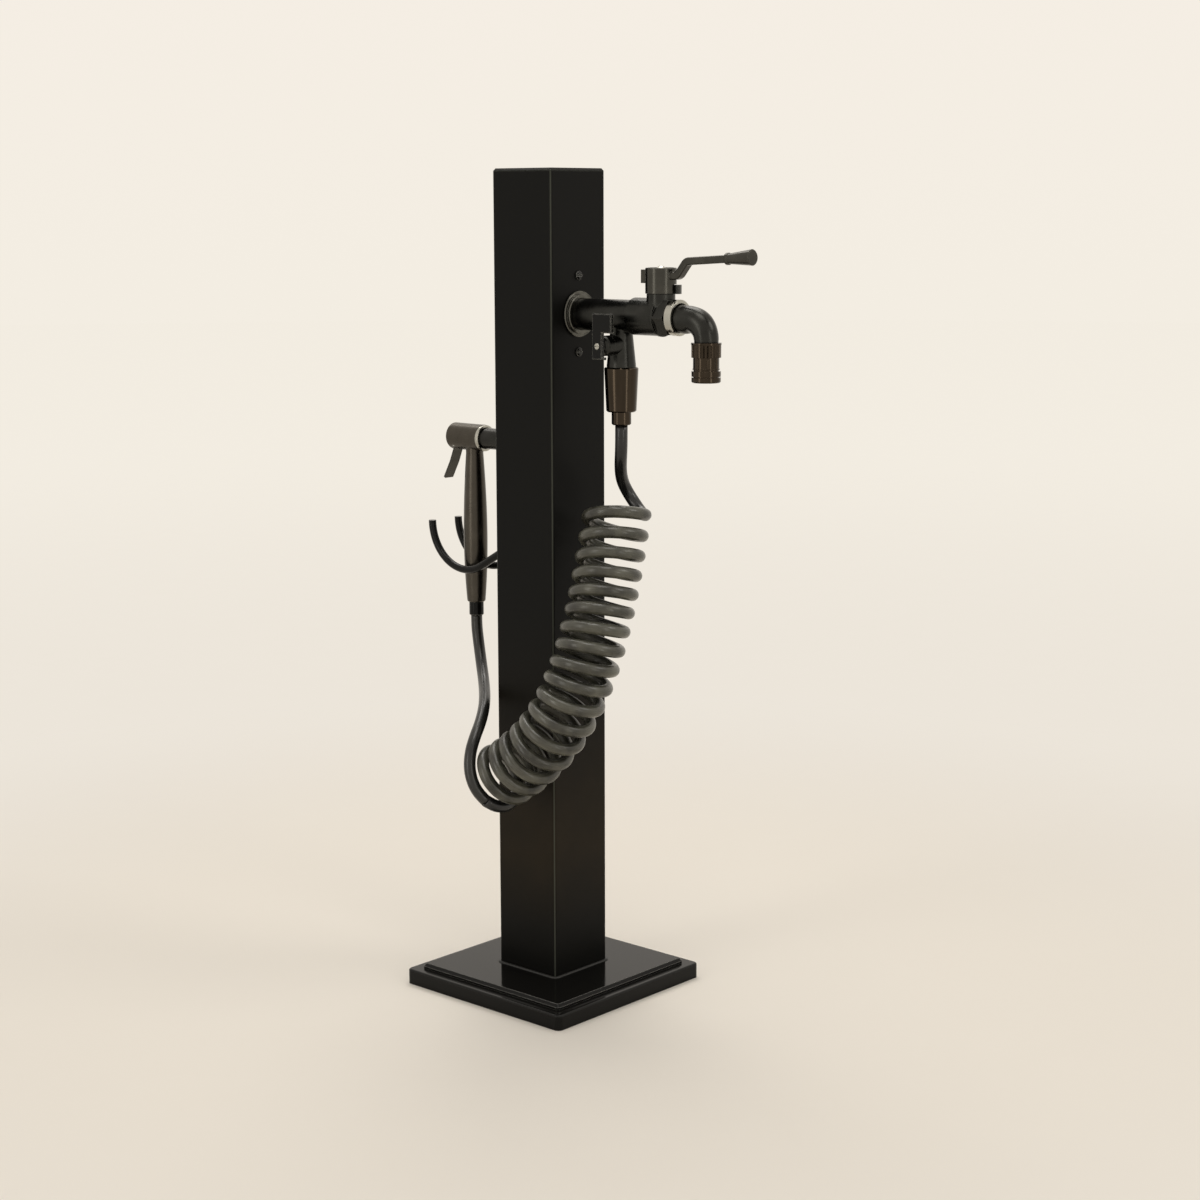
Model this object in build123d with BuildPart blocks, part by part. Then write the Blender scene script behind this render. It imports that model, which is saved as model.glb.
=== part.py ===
"""Garden standpipe: a square post on a bolted foot, with a quarter-turn tap and a swan-neck spout, a branch
tap that feeds a coiled hose, and a hand sprayer parked on a peg above a forked hook.

Millimetres, +Z up. The origin lies on the floor in the post's axis. The tap points to -Y, the peg and the
hook to +Y, and the coil hangs beside the -X face. "Reach" is a distance in front of the post's axis.
"""

import math
import os

from build123d import *

os.makedirs("parts", exist_ok=True)

# Driving dimensions
post_size = 80.0
post_wall = 2.0
post_length = 830.0
plate_size = 220.0
plate_thick = 16.0
post_top = plate_thick + post_length
tap_drop = 140.5
tap_height = post_top - tap_drop
branch_reach = 97.0
valve_offset = 51.0
valve_reach = branch_reach + valve_offset
spout_overhang = 56.8
spout_reach = valve_reach + spout_overhang
spout_drop = 60.5
spout_mouth_height = tap_height - spout_drop
branch_drop = 28.5
branch_axis_height = tap_height - branch_drop
peg_drop = 274.0
peg_height = post_top - peg_drop
handle_reach_back = 109.0
hook_drop = 380.0
hook_height = post_top - hook_drop
hose_r = 6.0
coil_hose_r = 6.25

# Clearances and overruns
play = 0.1
running = 0.05
clear = 0.3
overrun = 1.0

face_reach = post_size / 2
post_inside = post_size - post_wall - post_wall


# Planes

def ahead(reach, height=tap_height, side=0):
    """Plane square to the tap's axis, facing away from the post's front."""
    return Plane(origin=(side, -reach, height), x_dir=(1, 0, 0), z_dir=(0, -1, 0))


def behind(reach_back, height, side=0):
    """Plane square to +Y, facing away from the post's rear."""
    return Plane(origin=(side, reach_back, height), x_dir=(-1, 0, 0), z_dir=(0, 1, 0))


def level(height, reach=0, side=0):
    """Plane facing up."""
    return Plane(origin=(side, -reach, height))


def beside(side, reach, height):
    """Plane facing -X, its own x axis to the front and its y axis up."""
    return Plane(origin=(-side, -reach, height), x_dir=(0, -1, 0), z_dir=(-1, 0, 0))


# Common shapes

def rod(plane, start, end, radius, mode=Mode.ADD):
    """Round bar, or a round hole, between two distances along the plane's normal."""
    with BuildSketch(plane.offset(start)) as profile:
        Circle(radius)
    extrude(profile.sketch, amount=end - start, mode=mode)


def hexagon(plane, start, end, across_flats):
    """Hexagonal bar between two distances along the plane's normal."""
    with BuildSketch(plane.offset(start)) as profile:
        RegularPolygon(across_flats / 2, 6, major_radius=False)
    extrude(profile.sketch, amount=end - start)


def turned(plane, *outline, mode=Mode.ADD):
    """Body of revolution about the plane's normal, from points of (distance along it, radius)."""
    side = Plane(origin=plane.origin, x_dir=plane.x_dir, z_dir=-plane.y_dir)
    with BuildSketch(side) as profile:
        with BuildLine():
            Polyline(*[(radius, distance) for distance, radius in outline], close=True)
        make_face()
    revolve(profile.sketch, axis=Axis(plane.origin, plane.z_dir), mode=mode)


def ball(centre, radius, mode=Mode.ADD):
    """Sphere about a point."""
    with Locations(centre):
        Sphere(radius, mode=mode)


def write(piece, name):
    """Labels a finished piece and writes it."""
    piece.part.label = name
    export_step(piece.part, f"parts/{name}.step")


# Foot plate
plate_corner = 6.0
plate_edge = 2.0
anchor_spacing = 160.0
anchor_r = 5.5
anchor_head_r = 10.0
anchor_head_depth = 7.0
inlet_shank_r = 13.2
inlet_recess_r = 24.0
inlet_recess_depth = 9.0

with BuildPart() as base_plate:
    with BuildSketch():
        RectangleRounded(plate_size, plate_size, plate_corner)
    extrude(amount=plate_thick)
    fillet(base_plate.edges().group_by(Axis.Z)[-1], plate_edge)
    with Locations(base_plate.faces().sort_by(Axis.Z)[-1]):
        with GridLocations(anchor_spacing, anchor_spacing, 2, 2):
            CounterBoreHole(anchor_r, anchor_head_r, anchor_head_depth)
    rod(level(0), -overrun, plate_thick + overrun, inlet_shank_r + clear, Mode.SUBTRACT)
    rod(level(0), -overrun, inlet_recess_depth, inlet_recess_r, Mode.SUBTRACT)
write(base_plate, "base_plate")

# Post with its foot weld, its holes for the tap and for the threaded inserts
post_corner = 3.0
weld_leg = 3.0
wall_hole_r = 12.0
ear_spacing = 38.0
screw_shank_r = 2.5
insert_r = 4.6
hook_screw_side = 8.0
insert_places = [(0, peg_height), (-hook_screw_side, hook_height), (hook_screw_side, hook_height)]
weld_size = post_size + weld_leg + weld_leg

with BuildPart() as column_tube:
    with BuildSketch(level(plate_thick)):
        RectangleRounded(post_size, post_size, post_corner)
    extrude(amount=post_length)
    with BuildSketch(level(plate_thick)):
        RectangleRounded(weld_size, weld_size, post_corner + weld_leg)
    extrude(amount=weld_leg, taper=45)
    with BuildSketch(level(plate_thick)):
        RectangleRounded(post_inside, post_inside, post_corner - post_wall)
    extrude(amount=post_length, mode=Mode.SUBTRACT)
    rod(ahead(0), face_reach - post_wall - overrun, face_reach + overrun, wall_hole_r, Mode.SUBTRACT)
    for lift in (-ear_spacing, ear_spacing):
        ear = ahead(0, tap_height + lift)
        rod(ear, face_reach - post_wall - overrun, face_reach + overrun, screw_shank_r + play, Mode.SUBTRACT)
    for side, height in insert_places:
        rod(behind(0, height, side), face_reach - post_wall - overrun, face_reach + overrun,
            insert_r + play, Mode.SUBTRACT)
write(column_tube, "column_tube")

# Lid with a plug skirt that fits the post
lid_thick = 3.0
lid_edge = 2.4
plug_depth = 10.0
plug_wall = 1.5
plug_gap = 0.2
plug_size = post_inside - plug_gap - plug_gap
plug_inside = plug_size - plug_wall - plug_wall

with BuildPart() as column_lid:
    with BuildSketch(level(post_top)):
        RectangleRounded(post_size, post_size, post_corner)
    extrude(amount=lid_thick)
    chamfer(column_lid.edges().group_by(Axis.Z)[-1], lid_edge)
    with BuildSketch(level(post_top)):
        RectangleRounded(plug_size, plug_size, post_corner - post_wall)
        RectangleRounded(plug_inside, plug_inside, post_corner - post_wall, mode=Mode.SUBTRACT)
    extrude(amount=-plug_depth)
write(column_lid, "column_lid")

# Threaded inserts in the rear wall
insert_bore = 3.0
insert_bulge_r = 6.3
insert_bulge = 4.0
insert_length = 12.0
insert_back = face_reach - insert_length
wall_inside = face_reach - post_wall

with BuildPart() as rivet_nuts:
    for side, height in insert_places:
        insert = behind(0, height, side)
        rod(insert, insert_back, face_reach, insert_r)
        turned(insert, (wall_inside - insert_bulge, 0), (wall_inside - insert_bulge, insert_r),
               (wall_inside - overrun, insert_bulge_r), (wall_inside, insert_bulge_r), (wall_inside, 0))
        rod(insert, insert_back - overrun, face_reach + overrun, insert_bore, Mode.SUBTRACT)
write(rivet_nuts, "rivet_nuts")

# Cover over the anchor holes, a folded sheet with a square hole for the post
cover_size = 197.0
cover_bevel = 3.0
cover_sheet = 1.6
cover_lift = 0.1
cover_height = 5.5
cover_corner = 5.0
cover_hole = 84.0
cover_foot = plate_thick + cover_lift
cover_top = cover_foot + cover_height

with BuildPart() as base_cover:
    with BuildSketch(level(cover_foot)):
        RectangleRounded(cover_size, cover_size, cover_corner)
    extrude(amount=cover_height)
    chamfer(base_cover.edges().group_by(Axis.Z)[-1], cover_bevel)
    with BuildSketch(level(cover_foot)):
        RectangleRounded(cover_size - cover_sheet - cover_sheet, cover_size - cover_sheet - cover_sheet,
                         cover_corner - cover_sheet)
    extrude(amount=cover_height - cover_sheet, mode=Mode.SUBTRACT, taper=math.degrees(
        math.atan2(cover_bevel, cover_height)))
    with BuildSketch(level(cover_foot)):
        RectangleRounded(cover_hole, cover_hole, cover_corner)
    extrude(amount=cover_height + overrun, mode=Mode.SUBTRACT)
write(base_cover, "base_cover")

# Rubber lip that closes the cover's hole round the post
seal_lip = 1.2
seal_overlap = 1.0
seal_below = 1.7
seal_inside = post_size + clear + clear
seal_outside = cover_hole - play - play
seal_rim = cover_hole + seal_overlap + seal_overlap

with BuildPart() as cover_seal:
    with BuildSketch(level(cover_top - seal_below)):
        RectangleRounded(seal_outside, seal_outside, cover_corner - play)
    extrude(amount=seal_below)
    with BuildSketch(level(cover_top)):
        RectangleRounded(seal_rim, seal_rim, cover_corner + seal_overlap)
    extrude(amount=seal_lip, taper=30)
    with BuildSketch(level(cover_top - seal_below)):
        RectangleRounded(seal_inside, seal_inside, post_corner + clear)
    extrude(amount=seal_below + seal_lip, mode=Mode.SUBTRACT)
write(cover_seal, "cover_seal")

# Inlet through the foot: a hex fitting from above, a locknut below
inlet_hex = 34.0
inlet_hex_thick = 5.0
inlet_thread_r = 9.5
inlet_thread_depth = 15.0
inlet_foot = 1.0
inlet_bore = 6.0
thread_r = 9.5
thread_length = 12.0
pipe_r = 7.5
pipe_wall = 1.0
pipe_socket_depth = 9.0
inlet_seat = plate_thick + inlet_hex_thick
inlet_top = inlet_seat + thread_length

with BuildPart() as inlet_connector:
    rod(level(0), inlet_foot, plate_thick, inlet_shank_r)
    hexagon(level(0), plate_thick, inlet_seat, inlet_hex)
    rod(level(0), inlet_seat, inlet_top, thread_r)
    rod(level(0), inlet_foot, inlet_top, inlet_bore, Mode.SUBTRACT)
    rod(level(0), inlet_foot, inlet_foot + inlet_thread_depth, inlet_thread_r, Mode.SUBTRACT)
    rod(level(0), inlet_top - pipe_socket_depth, inlet_top, pipe_r + play, Mode.SUBTRACT)
write(inlet_connector, "inlet_connector")

locknut_hex = 36.0
locknut_thick = 7.0

with BuildPart() as inlet_locknut:
    hexagon(level(0), inlet_recess_depth - locknut_thick, inlet_recess_depth, locknut_hex)
    rod(level(0), 0, plate_thick, inlet_shank_r + play, Mode.SUBTRACT)
write(inlet_locknut, "inlet_locknut")

# Elbow behind the front wall: a flange with two ears, a socket for the tap, a leg for the riser
flange_thick = 5.0
flange_width = 24.0
flange_overlap = 8.0
flange_length = ear_spacing + ear_spacing + flange_overlap + flange_overlap
socket_r = 14.0
spigot_r = 10.2
spigot_depth = 16.0
leg_r = 11.0
leg_drop = 22.5
leg_end = tap_height - leg_drop
leg_thread_end = leg_end - thread_length
water_r = pipe_r - pipe_wall
elbow_centre = (0, 0, tap_height)

with BuildPart() as wall_plate_elbow:
    with BuildSketch(ahead(wall_inside - flange_thick)):
        RectangleRounded(flange_width, flange_length, flange_overlap)
    extrude(amount=flange_thick)
    rod(ahead(0), 0, wall_inside, socket_r)
    ball(elbow_centre, socket_r)
    rod(level(0), leg_end, tap_height, leg_r)
    rod(level(0), leg_thread_end, leg_end, thread_r)
    rod(ahead(0), wall_inside - spigot_depth, wall_inside, spigot_r + play, Mode.SUBTRACT)
    rod(ahead(0), 0, wall_inside, water_r, Mode.SUBTRACT)
    ball(elbow_centre, water_r, Mode.SUBTRACT)
    rod(level(0), leg_thread_end, tap_height, water_r, Mode.SUBTRACT)
    rod(level(0), leg_thread_end, leg_end + pipe_socket_depth - thread_length + flange_thick, pipe_r + play,
        Mode.SUBTRACT)
    for lift in (-ear_spacing, ear_spacing):
        rod(ahead(0, tap_height + lift), 0, wall_inside, screw_shank_r + play, Mode.SUBTRACT)
write(wall_plate_elbow, "wall_plate_elbow")

screw_head_r = 4.5
screw_head = 2.8
screw_length = 10.0
screw_slot = 1.2
screw_slot_depth = 1.2


def pan_screw(plane, length, shank_r, head_r):
    """Pan-head screw: the head stands on the plane, the shank goes in behind it, one slot."""
    turned(plane, (-length, 0), (-length, shank_r), (0, shank_r), (0, head_r), (screw_head / 2, head_r),
           (screw_head, head_r / 2), (screw_head, 0))
    with BuildSketch(plane.offset(screw_head)) as slot:
        Rectangle(head_r + head_r, screw_slot)
    extrude(slot.sketch, amount=-screw_slot_depth, mode=Mode.SUBTRACT)


with BuildPart() as elbow_screws:
    for lift in (-ear_spacing, ear_spacing):
        pan_screw(ahead(face_reach, tap_height + lift), screw_length, screw_shank_r, screw_head_r)
write(elbow_screws, "elbow_screws")

# Riser with a compression nut and an olive at each end
riser_foot = inlet_top - pipe_socket_depth
riser_entry = 14.0
riser_top = leg_thread_end + riser_entry
nut_hex = 24.0
nut_over = 5.0
nut_below = 7.0
nut_lip = 2.0
olive_length = nut_over - nut_lip
olive_swell = 1.6

with BuildPart() as riser_pipe:
    rod(level(0), riser_foot, riser_top, pipe_r)
    rod(level(0), riser_foot, riser_top, water_r, Mode.SUBTRACT)
write(riser_pipe, "riser_pipe")

riser_ends = [Plane(origin=(0, 0, inlet_top)), Plane(origin=(0, 0, leg_thread_end), z_dir=(0, 0, -1))]

with BuildPart() as riser_nuts:
    for end in riser_ends:
        hexagon(end, -nut_below, nut_over, nut_hex)
        rod(end, -nut_below, olive_length, thread_r + play, Mode.SUBTRACT)
        rod(end, -nut_below, nut_over, pipe_r + play, Mode.SUBTRACT)
write(riser_nuts, "riser_nuts")

with BuildPart() as riser_olives:
    for end in riser_ends:
        turned(end, (0, pipe_r + running), (0, pipe_r + olive_swell / 2),
               (olive_length / 2, pipe_r + olive_swell), (olive_length, pipe_r + olive_swell / 2),
               (olive_length, pipe_r + running))
write(riser_olives, "riser_olives")

# Rosette and its washer
rosette_r = 23.0
rosette_step_r = 20.0
rosette_disc = 3.0
rosette_thick = 6.0
rosette_edge = 0.8
washer_thick = 1.5
washer_inner = 11.0
washer_outer = 15.0
tee_r = 15.75
tee_start = face_reach + washer_thick

with BuildPart() as escutcheon:
    turned(ahead(0), (face_reach, 0), (face_reach, rosette_r), (face_reach + rosette_disc - rosette_edge,
           rosette_r), (face_reach + rosette_disc, rosette_r - rosette_edge),
           (face_reach + rosette_disc, rosette_step_r), (face_reach + rosette_thick - rosette_edge,
           rosette_step_r), (face_reach + rosette_thick, rosette_step_r - rosette_edge),
           (face_reach + rosette_thick, 0))
    rod(ahead(0), face_reach, face_reach + rosette_thick, tee_r + play + play, Mode.SUBTRACT)
write(escutcheon, "escutcheon")

with BuildPart() as pipe_seal:
    rod(ahead(0), face_reach, tee_start, washer_outer)
    rod(ahead(0), face_reach, tee_start, washer_inner, Mode.SUBTRACT)
write(pipe_seal, "pipe_seal")

# Tee: the pipe out of the post with the branch tap's housing below it
tee_setback = 32.0
tee_end = valve_reach - tee_setback
tee_bore = 7.5
body_thread_r = 13.1
body_thread_length = 14.0
branch_neck_r = 11.0
branch_neck_drop = 14.5
branch_neck_height = tap_height - branch_neck_drop
branch_foot_r = 14.5
branch_foot_drop = 50.5
branch_foot = tap_height - branch_foot_drop
branch_rim = 2.0
branch_spigot_r = 12.0
branch_spigot = 14.0
branch_ball_r = 7.5
branch_bore = 4.0
branch_cavity_r = 8.0
branch_seat_thick = 3.8
branch_flat = 4.2
boss_r = 10.0
boss_side = 20.0
packing_r = 5.5
packing_depth = 4.0
packing_thick = 3.0
branch_stem_r = 3.5
branch_cavity_top = branch_axis_height + branch_flat + branch_seat_thick
branch_centre = (0, -branch_reach, branch_axis_height)

with BuildPart() as tap_tee:
    rod(ahead(0), tee_start, tee_end, tee_r)
    turned(level(0, branch_reach), (branch_foot, 0), (branch_foot, branch_foot_r),
           (branch_foot + branch_rim, branch_foot_r), (branch_neck_height, branch_neck_r),
           (tap_height, branch_neck_r), (tap_height, 0))
    rod(beside(0, branch_reach, branch_axis_height), 0, boss_side, boss_r)
    rod(ahead(0), face_reach - spigot_depth, tee_start, spigot_r)
    rod(ahead(0), tee_end, tee_end + body_thread_length, body_thread_r)
    rod(level(0, branch_reach), branch_foot - branch_spigot, branch_foot, branch_spigot_r)
    rod(ahead(0), face_reach - spigot_depth, tee_end + body_thread_length, tee_bore, Mode.SUBTRACT)
    rod(level(0, branch_reach), branch_foot - branch_spigot, branch_cavity_top, branch_cavity_r,
        Mode.SUBTRACT)
    rod(level(0, branch_reach), branch_foot, tap_height, branch_bore, Mode.SUBTRACT)
    rod(beside(0, branch_reach, branch_axis_height), 0, boss_side, branch_stem_r + running, Mode.SUBTRACT)
    rod(beside(0, branch_reach, branch_axis_height), boss_side - packing_depth, boss_side, packing_r,
        Mode.SUBTRACT)
write(tap_tee, "tap_tee")

# Ball valve body with its stem neck and the stop lug
body_r = 18.25
body_round_run = 1.0
body_round_end = valve_reach + body_round_run
bead_r = 18.9
bead_run = 3.5
bead_end = valve_reach + bead_run
body_hex = 33.0
body_hex_run = 16.6
body_hex_end = valve_reach + body_hex_run
body_spigot_r = 14.6
body_run = 21.5
body_end = valve_reach + body_run
ball_r = 12.0
valve_bore = 7.25
cavity_r = 12.8
seat_inner_gap = 6.5
seat_thick = 6.0
neck_r = 14.0
neck_rise = 22.5
neck_top = tap_height + neck_rise
stem_boss_r = 10.8
stem_boss_rise = 31.5
stem_boss_top = tap_height + stem_boss_rise
stem_r = 5.0
stem_pocket_r = 6.6
stem_pocket_rise = 14.2
stem_pocket_top = tap_height + stem_pocket_rise
valve_packing_r = 8.0
valve_packing_rise = 18.5
valve_packing_foot = tap_height + valve_packing_rise
lug_r = 20.3
lug_height = 8.8
lug_angle = 290.0
lug_spread = 22.0
cavity_start = valve_reach - seat_inner_gap - seat_thick


def sector(foot, top, radius, middle_angle, spread, mode=Mode.ADD):
    """Wedge of a disc about the valve stem."""
    with BuildSketch(level(foot, valve_reach)) as wedge:
        with BuildLine():
            arc = CenterArc((0, 0), radius, middle_angle - spread / 2, spread)
            Line(arc @ 1, (0, 0))
            Line((0, 0), arc @ 0)
        make_face()
    extrude(wedge.sketch, amount=top - foot, mode=mode)


with BuildPart() as valve_body:
    turned(ahead(0), (tee_end, 0), (tee_end, body_r), (body_round_end, body_r), (body_round_end, bead_r),
           (bead_end, bead_r), (bead_end, 0))
    hexagon(ahead(0), bead_end, body_hex_end, body_hex)
    rod(ahead(0), body_hex_end, body_end, body_spigot_r)
    rod(level(0, valve_reach), tap_height, neck_top, neck_r)
    rod(level(0, valve_reach), neck_top, stem_boss_top, stem_boss_r)
    sector(neck_top, neck_top + lug_height, lug_r, lug_angle, lug_spread)
    rod(ahead(0), tee_end, tee_end + body_thread_length, body_thread_r + play, Mode.SUBTRACT)
    rod(ahead(0), tee_end, body_end, valve_bore, Mode.SUBTRACT)
    rod(ahead(0), cavity_start, body_end, cavity_r, Mode.SUBTRACT)
    rod(level(0, valve_reach), tap_height, stem_pocket_top, stem_pocket_r, Mode.SUBTRACT)
    rod(level(0, valve_reach), tap_height, stem_boss_top, stem_r + running, Mode.SUBTRACT)
    rod(level(0, valve_reach), valve_packing_foot, stem_boss_top, valve_packing_r, Mode.SUBTRACT)
write(valve_body, "valve_body")

seat_r = cavity_r - play - play
insert_end = valve_reach + seat_inner_gap + seat_thick

with BuildPart() as valve_seats:
    for start in (cavity_start, valve_reach + seat_inner_gap):
        rod(ahead(0), start, start + seat_thick, seat_r)
        rod(ahead(0), start, start + seat_thick, valve_bore, Mode.SUBTRACT)
    ball((0, -valve_reach, tap_height), ball_r + running, Mode.SUBTRACT)
write(valve_seats, "valve_seats")

insert_thick = 5.5

with BuildPart() as valve_insert:
    rod(ahead(0), insert_end, insert_end + insert_thick, cavity_r - play)
    rod(ahead(0), insert_end, insert_end + insert_thick, valve_bore, Mode.SUBTRACT)
write(valve_insert, "valve_insert")

valve_packing_thick = 4.0
packing_nut_rise = 30.5
packing_nut_top = tap_height + packing_nut_rise
packing_nut_foot = valve_packing_foot + valve_packing_thick
packing_nut_slot = 2.0

with BuildPart() as stem_packing:
    rod(level(0, valve_reach), valve_packing_foot, packing_nut_foot, valve_packing_r - running)
    rod(level(0, valve_reach), valve_packing_foot, packing_nut_foot, stem_r + running, Mode.SUBTRACT)
write(stem_packing, "stem_packing")

with BuildPart() as packing_nut:
    rod(level(0, valve_reach), packing_nut_foot, packing_nut_top, valve_packing_r - play)
    with BuildSketch(level(packing_nut_top, valve_reach)):
        Rectangle(valve_packing_r + valve_packing_r, packing_nut_slot)
    extrude(amount=-packing_nut_slot, mode=Mode.SUBTRACT)
    rod(level(0, valve_reach), packing_nut_foot, packing_nut_top, stem_r + running, Mode.SUBTRACT)
write(packing_nut, "packing_nut")

# Valve ball, stem and lever, which turn together
tongue_thick = 4.0
tongue_width = 9.0
tongue_rise = 8.5
tongue_foot = tap_height + tongue_rise
shoulder_r = 6.4
shoulder_rise = 12.1
shoulder_foot = tap_height + shoulder_rise
shoulder_top_rise = 14.1
shoulder_top = tap_height + shoulder_top_rise
square_size = 7.0
square_rise = 40.5
square_top = tap_height + square_rise
tapped_r = 2.6
tapped_depth = 11.0

with BuildPart() as valve_ball:
    ball((0, -valve_reach, tap_height), ball_r)
    rod(ahead(0), valve_reach - ball_r, valve_reach + ball_r, valve_bore, Mode.SUBTRACT)
    with BuildSketch(level(tongue_foot - play, valve_reach)):
        Rectangle(tongue_thick + play + play, ball_r + ball_r)
    extrude(amount=ball_r, mode=Mode.SUBTRACT)
write(valve_ball, "valve_ball")

hub_floor_rise = 32.1
hub_floor = tap_height + hub_floor_rise

with BuildPart() as valve_stem:
    with BuildSketch(level(tongue_foot, valve_reach)):
        Rectangle(tongue_thick, tongue_width)
    extrude(amount=shoulder_foot - tongue_foot)
    rod(level(0, valve_reach), shoulder_foot, shoulder_top, shoulder_r)
    rod(level(0, valve_reach), shoulder_top, hub_floor, stem_r)
    with BuildSketch(level(hub_floor, valve_reach)):
        Rectangle(square_size, square_size)
    extrude(amount=square_top - hub_floor)
    rod(level(0, valve_reach), square_top - tapped_depth, square_top, tapped_r, Mode.SUBTRACT)
write(valve_stem, "valve_stem")

hub_r = 15.3
hub_rise = 22.9
hub_foot = tap_height + hub_rise
hub_top_rise = 47.5
hub_top = tap_height + hub_top_rise
hub_skirt_r = 13.2
hub_recess_r = 13.0
hub_recess = 1.2
hub_edge = 0.6
window_middle = 335.0
window_spread = 114.0
lever_lug_width = 11.0
lever_lug_proud = 5.7
lever_lug_rise = 32.5
lever_lug_foot = tap_height + lever_lug_rise
arm_width = 10.0
arm_thick = 7.5
arm_edge = 1.8
arm_bend = 7.0
arm_shape = [(8.0, 40.0), (22.5, 40.0), (34.0, 54.1), (84.0, 57.1)]
arm_route = [(valve_reach + out, tap_height + rise) for out, rise in arm_shape]
grip_length = 28.5
grip_r = 7.7
grip_neck_r = 5.0
grip_ring = 2.4
grip_edge = 0.8
hub_recess_floor = hub_top - hub_recess
(arm_rise_start, arm_rise_end) = arm_route[-2:]
arm_slope = math.degrees(math.atan2(arm_rise_end[1] - arm_rise_start[1], arm_rise_end[0] - arm_rise_start[0]))
arm_end = ahead(arm_route[-1][0], arm_route[-1][1]).rotated((-arm_slope, 0, 0))

with BuildPart() as main_lever:
    with BuildSketch(Plane.YZ.offset(-arm_width / 2)):
        with BuildLine():
            FilletPolyline(*[(-reach, height) for reach, height in arm_route], radius=arm_bend)
        trace(line_width=arm_thick)
    extrude(amount=arm_width)
    fillet(main_lever.edges().filter_by(lambda edge: edge.length > arm_width + overrun), arm_edge)
    turned(arm_end, (-grip_ring, 0), (-grip_ring, grip_neck_r + grip_edge), (0, grip_neck_r + grip_edge),
           (grip_edge, grip_neck_r), (grip_length - grip_edge, grip_r), (grip_length, grip_r - grip_edge),
           (grip_length, 0))
    turned(level(0, valve_reach), (hub_foot, 0), (hub_foot, hub_r), (hub_top - hub_edge, hub_r),
           (hub_top, hub_r - hub_edge), (hub_top, 0))
    with BuildSketch(level(lever_lug_foot, valve_reach - hub_r)):
        Rectangle(lever_lug_width, lever_lug_proud + lever_lug_proud)
    extrude(amount=hub_top - overrun - overrun - lever_lug_foot)
    rod(level(0, valve_reach), hub_recess_floor, hub_top, hub_recess_r, Mode.SUBTRACT)
    rod(level(0, valve_reach), hub_foot, hub_floor, hub_skirt_r, Mode.SUBTRACT)
    sector(hub_foot, hub_floor - clear, hub_r + overrun, window_middle, window_spread, Mode.SUBTRACT)
    with BuildSketch(level(hub_floor, valve_reach)):
        Rectangle(square_size + play + play, square_size + play + play)
    extrude(amount=square_top - hub_floor, mode=Mode.SUBTRACT)
    rod(level(0, valve_reach), hub_floor, hub_top, tapped_r, Mode.SUBTRACT)
write(main_lever, "main_lever")

lever_screw_length = 13.0

with BuildPart() as lever_screw:
    pan_screw(level(hub_recess_floor, valve_reach), lever_screw_length, screw_shank_r, screw_head_r)
write(lever_screw, "lever_screw")

# Union ring and tapering spout bend
union_r = 17.5
union_bore = 14.8
union_gap = 0.2
union_run = 25.5
union_end = valve_reach + union_run
union_edge = 1.2
union_lip_r = 14.1
spout_flange_r = 14.5
spout_flange = 1.7
spout_bend = 19.0
spout_droop = 1.0
spout_root_r = 13.4
spout_bore = 7.5
spout_foot_drop = 23.5
spout_foot = tap_height - spout_foot_drop
spout_thread_r = 10.3
spout_thread = 7.0
bend_radii = [12.9, 12.7, 12.3, 11.9]
spout_foot_r = 11.4
spout_start = body_end + spout_flange
bend_start = spout_reach - spout_bend
bend_height = tap_height - spout_droop
bend_low = bend_height - spout_bend
thread_end = spout_foot - spout_thread

with BuildPart() as spout_locknut:
    turned(ahead(0), (body_hex_end + union_gap, 0), (body_hex_end + union_gap, union_r - union_edge),
           (body_hex_end + union_gap + union_edge, union_r), (union_end - union_edge, union_r),
           (union_end, union_r - union_edge), (union_end, 0))
    rod(ahead(0), body_hex_end, spout_start, union_bore, Mode.SUBTRACT)
    rod(ahead(0), body_hex_end, union_end, union_lip_r, Mode.SUBTRACT)
write(spout_locknut, "spout_locknut")

with BuildPart() as spout_elbow:
    with BuildSketch(ahead(spout_start, tap_height)):
        Circle(spout_root_r)
    for step, radius in enumerate(bend_radii):
        turn = math.radians(90 * step / (len(bend_radii) - 1))
        reach = bend_start + spout_bend * math.sin(turn)
        height = bend_low + spout_bend * math.cos(turn)
        along = (0, -math.cos(turn), -math.sin(turn))
        with BuildSketch(Plane(origin=(0, -reach, height), x_dir=(1, 0, 0), z_dir=along)):
            Circle(radius)
    with BuildSketch(Plane(origin=(0, -spout_reach, spout_foot), x_dir=(1, 0, 0), z_dir=(0, 0, -1))):
        Circle(spout_foot_r)
    loft()
    rod(ahead(0), body_end, spout_start, spout_flange_r)
    rod(level(0, spout_reach), thread_end, spout_foot, spout_thread_r)
    with BuildLine(Plane.YZ):
        Line((-body_end, bend_height), (-bend_start, bend_height))
        TangentArc((-bend_start, bend_height), (-spout_reach, bend_low), tangent=(-1, 0))
        Line((-spout_reach, bend_low), (-spout_reach, thread_end))
    with BuildSketch(ahead(body_end, bend_height)):
        Circle(spout_bore)
    sweep(mode=Mode.SUBTRACT)
write(spout_elbow, "spout_elbow")

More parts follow.
